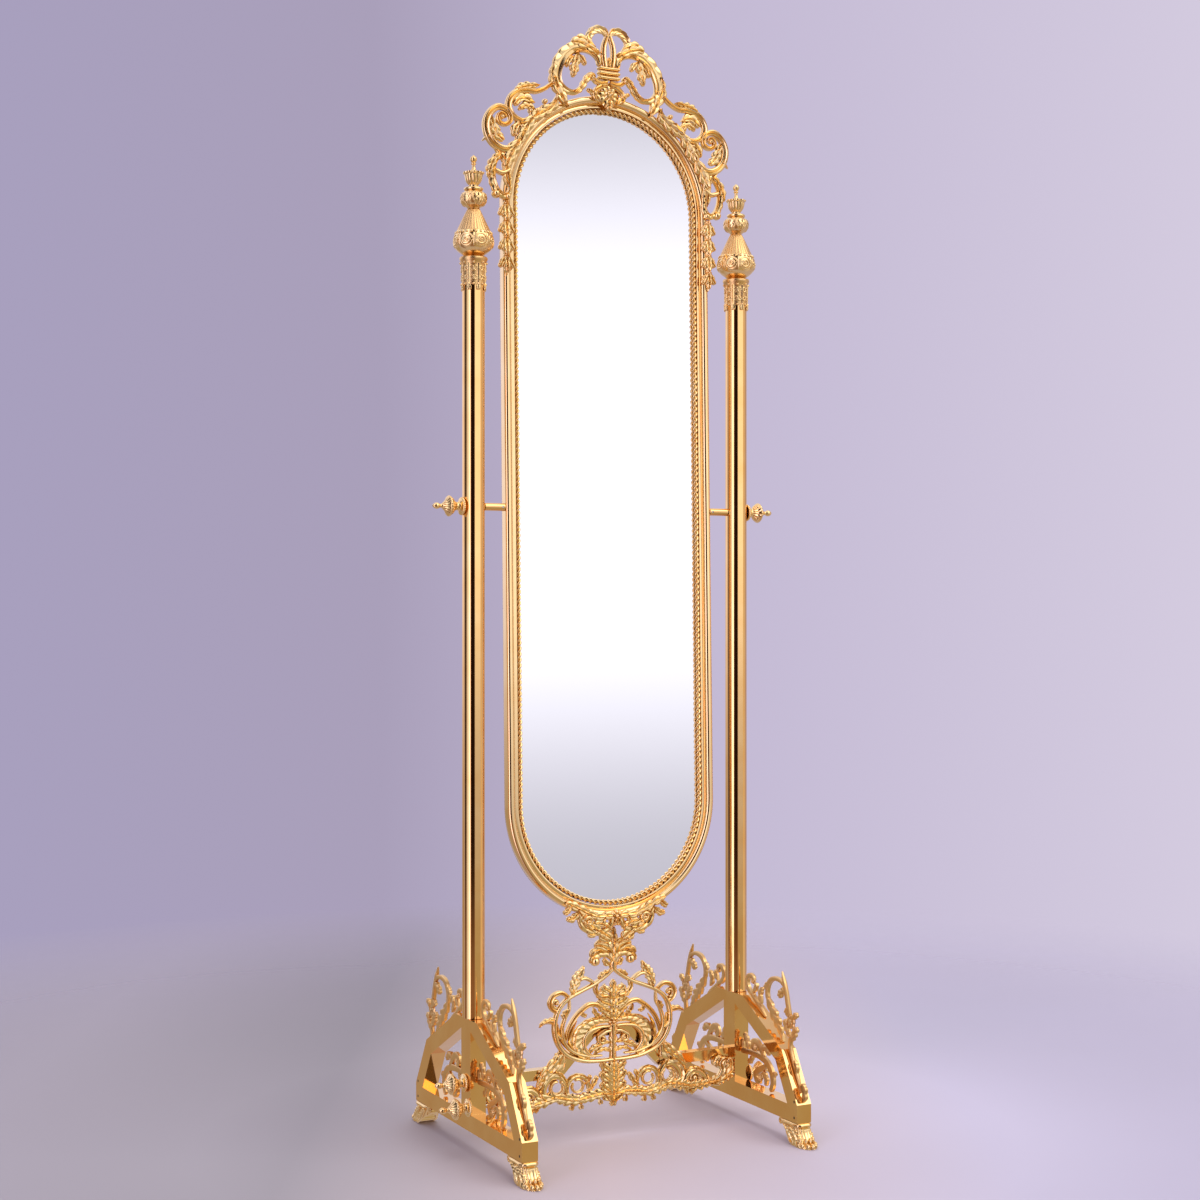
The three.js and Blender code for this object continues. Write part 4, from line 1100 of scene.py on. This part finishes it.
def stand_side(side, sign):
    """Everything that stands on one side: trestle with its castings, post, finial and tie nuts."""
    x = sign * POST_X
    add_bevelled(f"{side}_trestle", POLISHED, "stand", 0.9)
    for end, front in (("front", 1), ("rear", -1)):
        place = on_trestle(x, front)
        for part, material, shell in (("foot", CAST, foot()), ("vine", SATIN, vine()),
                                      ("scroll", SATIN, opening_scroll())):
            node = f"{side}_{end}_{part}"
            add_piece(node + "_casting", shell, place, material, "stand", [node])
        shell = Shell()
        for u, v in BAR_SCREWS:
            screw(shell, u, v, SCREW_HEAD_R, BAR / 2)
        add_piece(f"{side}_{end}_bar_screws", shell, place, BLUED_STEEL, "stand", [])

    inner = POST_R - POST_WALL
    edge = 0.6
    wall = [[POST_R, POST_FOOT_Z + edge], [POST_R, POST_TOP_Z - edge], [POST_R - edge, POST_TOP_Z],
            [inner, POST_TOP_Z], [inner, POST_FOOT_Z], [POST_R - edge, POST_FOOT_Z]]
    post = add_turned(f"{side}_post_tube", wall, 96, upright(x), POLISHED, "stand", f"{side}_post",
                      sharp=40, closed=True)
    bored(post, (x - 2 * POST_R, 0, PIVOT_Z), (x + 2 * POST_R, 0, PIVOT_Z), PIN_BORE_R)

    finial(side, x)

    for tie, y, z in (("stretcher", STRETCHER_Y, STRETCHER_Z), ("garland", GARLAND_Y, GARLAND_Z)):
        node = f"{side}_{tie}_nut"
        place = pointing(sign, x + sign * (BAR / 2 + GAP), y, z)
        add_knob(node + "_casting", TIE_BORE_R, NUT_BORE_DEEP, place, "stand", node)


def collar_lace(around):
    """Pierced scrolls round the collar, over a scalloped lower edge."""
    shell = Shell()
    fine = {"thick": 2.8, "base": 0.8, "pitch": 0.7}
    for step in range(8):
        u = step * 2 * math.pi * around / 8
        relief(shell, [[u, 1434, 1.4], [u, 1452, 1.8], [u, 1471, 2.2]], "keel", **fine)
        for side in (-1, 1):
            relief(shell, volute(u + side * 4, 1462, 5.0, 1.6, -90, side * 1.1, 1.4, 1.1), "round", **fine)
            relief(shell, volute(u + side * 4, 1446, 4.6, 1.6, 90, -side * 1.1, 1.4, 1.1), "round", **fine)
        leaf(shell, [[u, 1439, 2.4], [u, 1432, 4.6], [u, 1426, 1]], 2, **fine)
        bead(shell, u + math.pi * around / 8, 1436, 2.2, 2.6)
        bead(shell, u + math.pi * around / 8, 1471, 2.4, 3)
    return shell


def pear_medallions(around):
    """Spiral medallions round the widest part of the pear, under a row of lace beads."""
    shell = Shell()
    fine = {"base": 0.8, "pitch": 0.8}
    rim = [[10.6 * math.cos(a), 10.6 * math.sin(a)] for a in np.linspace(0, 2 * math.pi, 19)]
    for step in range(8):
        u = step * 2 * math.pi * around / 8
        relief(shell, [[u + du, 1507 + dv, 1.5] for du, dv in rim], "round", thick=3.0, **fine)
        relief(shell, volute(u, 1507, 8.0, 1.0, 200, 1.7, 1.9, 1.3), "round", thick=3.2, **fine)
        bead(shell, u, 1507, 2.0, 3.4)
        middle = u + math.pi * around / 8
        relief(shell, [[middle, 1496, 1.5], [middle, 1507, 1.2], [middle, 1519, 1.8]], "keel", thick=2.4,
               **fine)
        for part in range(3):
            bead(shell, u + (part - 1) * 2 * math.pi * around / 24, 1521.5, 2.9, 2.6)
    return shell


def bulb_leaves(around):
    """Leaves that rise round the bulb, with a strand on both sides of each."""
    shell = Shell()
    fine = {"thick": 2.6, "base": 0.6, "pitch": 0.7}
    for step in range(6):
        u = step * 2 * math.pi * around / 6
        leaf(shell, [[u, 1565, 3], [u, 1573, 7.5], [u, 1581, 7], [u, 1589, 1.5]], 3, **fine)
        for side in (-1, 1):
            relief(shell, [[u + side * 1.5, 1566, 1.2], [u + side * 8.5, 1576, 1.5],
                           [u + side * 10, 1588, 1.2]], "round", **fine)
    return shell


def sunk(profile, by=0.4):
    """A turned profile a little inside another, where the ornament on it takes root."""
    return [[radius - by, height] for radius, height in profile]


def finial(side, x):
    """Turned castings on top of a post: collar, pear, cone, bulb and crown, with their ornament."""
    place = upright(x)
    bore = POST_R + GAP
    cap_z = COLLAR_TOP_Z - 5.6
    sleeve = [[19.9, COLLAR_LOW_Z], [20.1, 1462], [20.6, 1470], [22.0, 1474], [23.4, 1477],
              [23.6, 1479.5], [22.6, 1481.6], [20, COLLAR_TOP_Z]]
    collar = [[bore, COLLAR_LOW_Z]] + sleeve + [[0.05, COLLAR_TOP_Z], [0.05, cap_z], [bore, cap_z]]
    node = f"{side}_post_collar"
    add_turned(f"{side}_collar_casting", collar, 96, place, SATIN, "stand", node, closed=True,
               inside=bore)
    lace = wrapped(x, COLLAR_R, [[19.6, 1425], [19.6, COLLAR_LOW_Z]] + sunk(sleeve, 0.3))
    add_piece(f"{side}_collar_lace", collar_lace(COLLAR_R), lace, CAST, "stand", [node])

    node = f"{side}_finial_pear"
    pear = [[17, 1484.5], [22, 1488], [28.5, 1493.5], [32.2, 1500], [33.0, 1506], [32.2, 1513],
            [30.2, 1520], [28.8, CONE_LOW_Z]]
    body = curve_profile([[0.05, 1482.4], [14, 1482.5]] + pear + [[27, 1524.6], [0.05, 1524.8]], 0.9)
    add_turned(f"{side}_pear_casting", body, 120, place, CAST, "stand", node, sharp=70)
    add_piece(f"{side}_pear_medallions", pear_medallions(PEAR_R), wrapped(x, PEAR_R, sunk(pear)), CAST,
              "stand", [node])

    def reeds(angle, height):
        return -0.6 * window(height, CONE_LOW_Z, 1560, 3) * (1 - np.abs(np.sin(14 * angle)) ** 0.8)

    cone = [[0.05, CONE_LOW_Z], [28.6, CONE_LOW_Z], [27.6, 1526.4], [22.5, 1537], [16.6, 1549.4],
            [11.2, 1560.2], [10.6, 1561.2], [0.05, 1561.4]]
    add_turned(f"{side}_pear_cone", cone, 280, place, SATIN, "stand", node, sharp=70, dent=reeds,
               pitch=1.2)

    node = f"{side}_finial_bulb"
    bulb = [[10.6, 1563], [16, 1567], [19.8, 1573], [20.6, 1580], [19.2, 1586], [16, 1590.2]]
    rim = [[13.6, 1591.6], [15.6, 1592.4], [16.4, 1594], [16.2, 1595.8], [15, 1597], [0.05, 1597.2]]
    body = curve_profile([[0.05, 1561.6], [9.6, 1561.7]] + bulb, 0.9) + rim
    add_turned(f"{side}_bulb_casting", body, 120, place, CAST, "stand", node)
    add_piece(f"{side}_bulb_leaves", bulb_leaves(BULB_R), wrapped(x, BULB_R, sunk(bulb)), CAST, "stand",
              [node])

    cup = curve_profile([[0.05, 1597.5], [7.6, 1597.6], [8.0, 1600.5], [10.4, 1603.6], [13.2, 1608],
                         [14.8, 1614], [15.6, 1619]], 0.6)
    cup += [[17.0, 1620.4], [17.0, 1622.6], [14, 1623.4], [9.5, 1623], [6, 1624.2], [4, 1627.5],
            [3.1, 1631], [3.0, 1635], [4.4, 1636.2], [4.4, 1637.6], [3.2, 1638.8], [4.6, 1640.6],
            [5.8, 1643.4], [5.6, 1646], [4.0, 1648.6], [1.8, 1650], [1.2, 1651], [0.05, 1651.6]]

    def flutes(angle, height):
        flute = window(height, 1601.5, 1618.5, 2) * -1.5 * (1 - np.abs(np.cos(5 * angle)) ** 0.7)
        cusps = window(height, 1619.4, 1623.4, 0.8) * 2.0 * (np.abs(np.cos(5 * angle)) ** 0.9 - 0.5)
        return flute + cusps

    add_turned(f"{side}_crown_casting", cup, 160, place, CAST, "stand", f"{side}_finial_crown",
               dent=flutes, pitch=0.6)


def pivot(side, sign):
    """Sleeve and knob of one pivot, both bored for its pin. The knob turns on the pin."""
    low, high = FRAME_R + GAP, POST_X - POST_R - GAP
    outer, ease = 6.5, 0.4
    ring = [[outer - ease, low], [outer, low + ease], [outer, high - ease], [outer - ease, high],
            [PIN_BORE_R, high], [PIN_BORE_R, low]]
    sleeve = add_turned(f"{side}_sleeve_tube", ring, 64, pointing(sign, 0, 0, PIVOT_Z), POLISHED,
                        "mirror", f"{side}_pivot_sleeve", sharp=40, closed=True)
    screw_x = sign * SET_SCREW_X
    bored(sleeve, (screw_x, -9, PIVOT_Z), (screw_x, 0, PIVOT_Z), SET_SCREW_BORE_R)
    place = pointing(sign, sign * (POST_X + POST_R + GAP), 0, PIVOT_Z)
    add_knob(f"{side}_knob_casting", PIN_BORE_R, KNOB_BORE_DEEP, place, f"{side}_knob",
             f"{side}_pivot_knob")


for side, sign in SIDES:
    stand_side(side, sign)
    pivot(side, sign)

add_bevelled("stretcher_bar", STRETCHER_BRASS, "stand", 0.8)
leaf_back = STRETCHER_Y - STRETCHER_HALF - GAP
for side, sign in SIDES:
    for node, body, back_y, shell in (
            (f"{side}_stretcher_leaf", "stand", leaf_back, mitre_leaf()),
            (f"crest_{side}_scroll", "mirror", CREST_BACK_Y, arch_scroll()),
            (f"{side}_pendant", "mirror", CREST_BACK_Y, pendant())):
        if sign < 0:
            shell.flip()
        add_piece(node + "_casting", shell, on_front(back_y), CAST, body, [node],
                  leaning=body == "mirror")

for node, body, back_y, shell in (
        ("apron_garland", "stand", APRON_BACK_Y, garland()),
        ("apron_scroll_panel", "stand", APRON_BACK_Y, scroll_panel()),
        ("apron_fleur", "stand", APRON_BACK_Y, fleur()),
        ("crest_crown", "mirror", CREST_BACK_Y, crown()),
        ("bottom_ornament", "mirror", CREST_BACK_Y, bottom_ornament())):
    add_piece(node + "_casting", shell, on_front(back_y), CAST, body, [node], leaning=body == "mirror")


# ---------------------------------------------------------------- mirror

def as_is(points):
    return points


def slab(shell, rows):
    """A plate with the outline of the glass: rows of [radius, y] from one face to the other."""
    angles, centres = arc_steps()
    shell.loft([np.column_stack([radius * np.cos(angles), np.full(len(angles), y),
                                 centres + radius * np.sin(angles)]) for radius, y in rows])


shell = Shell()
roll = 6.5
front = [[FRAME_R - roll + roll * math.cos(a), -3 - 6 * math.sin(a)]
         for a in np.linspace(math.pi, 0, 13)]
moulding(shell, [[FRAME_R, 10.5], [196, 12.6], [194.5, 13], [178, 13], [176.3, 12.6], [176.2, -0.8],
                 [176.6, -1.7], [177.4, -2.0], [179.5, -1.95], [181.5, -1.6], [183.2, -1.1],
                 [184.1, -0.7]] + front)
frame_piece = add_piece("frame_moulding", shell, as_is, FRAME_BRASS, "mirror", ["mirror_frame"],
                        sharp=35, leaning=True)
for side, sign in SIDES:
    bored(frame_piece, (sign * (FRAME_R - 12), 0, PIVOT_Z), (sign * (FRAME_R + 8), 0, PIVOT_Z),
          PIN_BORE_R)

shell = Shell()
rope(shell, radius=171.8, y=0.8, strand_offset=2.0, strand_radius=2.2, pitch=19)
add_piece("rope_twist", shell, as_is, CAST, "mirror", ["rope_trim"], leaning=True)

shell = Shell()
slab(shell, [[174.2, 10.35], [175, 10.9], [175, 12.4], [174.4, 13]])
add_piece("backing_board", shell, as_is, BOARD, "mirror", ["back_panel"], sharp=30, leaning=True)

# CAD nodes that are shown as they are.
carried = {"mirror_glass": GLASS}
for side, sign in SIDES:
    for name in ("pivot_pin", "set_screw", "stretcher_tie_bolt", "garland_tie_bolt"):
        carried[f"{side}_{name}"] = STEEL
for name, material in carried.items():
    node = frame["nodes"][name]
    node.data.materials.clear()
    node.data.materials.append(material)


# ---------------------------------------------------------------- camera

LENS = 59.5
CAMERA_AT = Vector((-1.561, -3.023, 0.914))
AHEAD = Vector((0.4547, 0.8907, 0.0)).normalized()
RIGHT = AHEAD.cross(Vector((0, 0, 1)))

camera = bpy.data.objects.new("camera", bpy.data.cameras.new("camera"))
camera.data.lens = LENS
camera.data.sensor_width = 36
camera.location = CAMERA_AT
camera.rotation_euler = AHEAD.to_track_quat("-Z", "Y").to_euler()
bpy.context.scene.collection.objects.link(camera)
bpy.context.scene.camera = camera


# ---------------------------------------------------------------- studio

def dot(tree, vector, axis):
    node = tree.nodes.new("ShaderNodeVectorMath")
    node.operation = "DOT_PRODUCT"
    tree.links.new(vector, node.inputs[0])
    node.inputs[1].default_value = axis
    return node.outputs["Value"]


def studio_world():
    """A lavender room with soft white panels, by direction: azimuth 0 is straight at the front of the
    view, positive to its right; elevation is up from level. Angles in degrees."""
    world = bpy.data.worlds.new("studio")
    world.use_nodes = True
    bpy.context.scene.world = world
    tree = world.node_tree
    background = tree.nodes["Background"]
    direction = tree.nodes.new("ShaderNodeTexCoord").outputs["Generated"]
    sideways = dot(tree, direction, RIGHT)
    nearer = dot(tree, direction, -AHEAD)
    upward = dot(tree, direction, (0, 0, 1))
    azimuth = math_node(tree, "ARCTAN2", sideways, nearer)
    elevation = math_node(tree, "ARCSINE", upward)

    def within(angle, low, high, soft):
        middle, half, soft = (math.radians(v) for v in ((low + high) / 2, (high - low) / 2, soft))
        off = math_node(tree, "ABSOLUTE", math_node(tree, "SUBTRACT", angle, middle))
        node = tree.nodes.new("ShaderNodeMapRange")
        node.interpolation_type = "SMOOTHSTEP"
        node.inputs["From Min"].default_value = half + soft / 2
        node.inputs["From Max"].default_value = max(half - soft / 2, 0.0)
        tree.links.new(off, node.inputs["Value"])
        return node.outputs["Result"]

    colour = ramp(tree, spread(tree, elevation, 0, 1, -1.3, 1.3),
                  [(0.0, (0.50, 0.44, 0.48)), (0.45, (0.52, 0.46, 0.56)), (0.62, (0.86, 0.84, 0.96)),
                   (1.0, (1.05, 1.03, 1.12))])
    panels = [
        # azimuth low, high, soft, elevation low, high, soft, colour
        (105, 150, 20, -40, 60, 30, (0.50, 0.42, 0.50)),
        (75, 105, 20, -40, 60, 30, (0.74, 0.62, 0.50)),
        (-150, -108, 8, -40, 60, 30, (0.41, 0.33, 0.24)),
        (-150, -108, 8, -3, 60, 10, (0.98, 0.96, 1.20)),
        (-108, -94, 6, -40, 60, 30, (0.46, 0.42, 0.55)),
        (-76, -66, 6, -40, 60, 30, (0.30, 0.26, 0.26)),
        (-94, -76, 6, -60, 0, 6, (0.24, 0.13, 0.09)),
        (-94, -76, 6, -9, 60, 5, (0.03, 0.015, 0.01)),
        (-66, -28, 6, -30, 60, 30, (0.85, 0.92, 1.20)),
        (-46, -28, 6, -30, 55, 30, (2.4, 2.0, 2.6)),
        (14, 78, 8, -60, 0, 6, (0.45, 0.38, 0.26)),
        (14, 78, 8, -8, 32, 5, (0.61, 0.59, 0.66)),
        (14, 78, 8, -1.6, 13.7, 9, (1.25, 1.23, 1.32)),
        (30, 95, 12, 28, 65, 12, (2.4, 2.3, 2.3)),
        (-26, 16, 6, -60, 0, 6, (0.27, 0.15, 0.10)),
        (-26, 16, 6, -9, 50, 5, (0.06, 0.03, 0.02)),
        (-14, 8, 6, -9, 55, 5, (0.012, 0.005, 0.003)),
    ]
    for low, high, soft, bottom, top, fade, tint in panels:
        weight = math_node(tree, "MULTIPLY", within(azimuth, low, high, soft),
                           within(elevation, bottom, top, fade))
        colour = blend(tree, weight, colour, (*tint, 1.0))
    # Painted light: the backdrop that camera rays see is painted darker on the left and lighter on the
    # right, as light falls across it.
    backdrop = ramp(tree, spread(tree, sideways, 0, 1, -0.32, 0.32),
                    [(0.0, (0.39, 0.35, 0.52)), (0.33, (0.40, 0.35, 0.49)), (0.55, (0.54, 0.48, 0.65)),
                     (1.0, (0.67, 0.61, 0.75))])
    seen = tree.nodes.new("ShaderNodeLightPath").outputs["Is Camera Ray"]
    tree.links.new(blend(tree, seen, colour, backdrop), background.inputs["Color"])


def floor():
    """A wide pale floor that fades out before its edge."""
    shell = Shell()
    edges = ((10, 0), (1500, 0), (4000, 0), (9000, 0), (9000, -5), (10, -5))
    shell.loft([circle(0, 0, radius, level, 96) for radius, level in edges])
    mesh = bpy.data.meshes.new("floor")
    mesh.from_pydata(np.concatenate(shell.points) * MM, [], shell.faces)
    piece = bpy.data.objects.new("floor", mesh)
    bpy.context.scene.collection.objects.link(piece)
    material, tree, shader = new_material("floor")
    place = tree.nodes.new("ShaderNodeTexCoord").outputs["Object"]
    # Painted light and shade: across the view the floor is painted darkest in a band to the left of the
    # stand and lightest near the middle.
    colour = ramp(tree, spread(tree, dot(tree, place, RIGHT), 0, 1, -2.0, 2.0),
                  [(0.22, (0.40, 0.37, 0.41)), (0.37, (0.30, 0.28, 0.30)), (0.50, (0.56, 0.48, 0.50)),
                   (0.66, (0.51, 0.48, 0.59))])
    colour = blend(tree, spread(tree, noise(tree, 1.5, 2), 0.0, 0.1), colour, (0.4, 0.36, 0.4, 1.0))
    tree.links.new(colour, shader.inputs["Base Color"])
    shader.inputs["Roughness"].default_value = 0.75
    shader.inputs["Specular IOR Level"].default_value = 0.15
    length = tree.nodes.new("ShaderNodeVectorMath")
    length.operation = "LENGTH"
    tree.links.new(place, length.inputs[0])
    tree.links.new(spread(tree, length.outputs["Value"], 1.0, 0.0, 0.7, 2.6), shader.inputs["Alpha"])
    mesh.materials.append(material)
    piece.visible_glossy = False


def soft_light(name, place, target, size, power, colour):
    lamp = bpy.data.lights.new(name, "AREA")
    lamp.shape = "DISK"
    lamp.size = size
    lamp.energy = power
    lamp.color = colour
    light = bpy.data.objects.new(name, lamp)
    light.location = place
    light.rotation_euler = (Vector(target) - Vector(place)).to_track_quat("-Z", "Y").to_euler()
    light.visible_camera = False
    light.visible_glossy = False
    bpy.context.scene.collection.objects.link(light)


studio_world()
floor()
middle = (0, 0, 0.9)
soft_light("key", CAMERA_AT + 1.6 * RIGHT + Vector((0, 0, 1.8)), middle, 1.6, 30, (1.0, 0.97, 0.95))
soft_light("top", (0.2, 0.1, 3.6), middle, 2.4, 40, (1.0, 0.98, 1.0))
bpy.context.scene.view_settings.view_transform = "Standard"
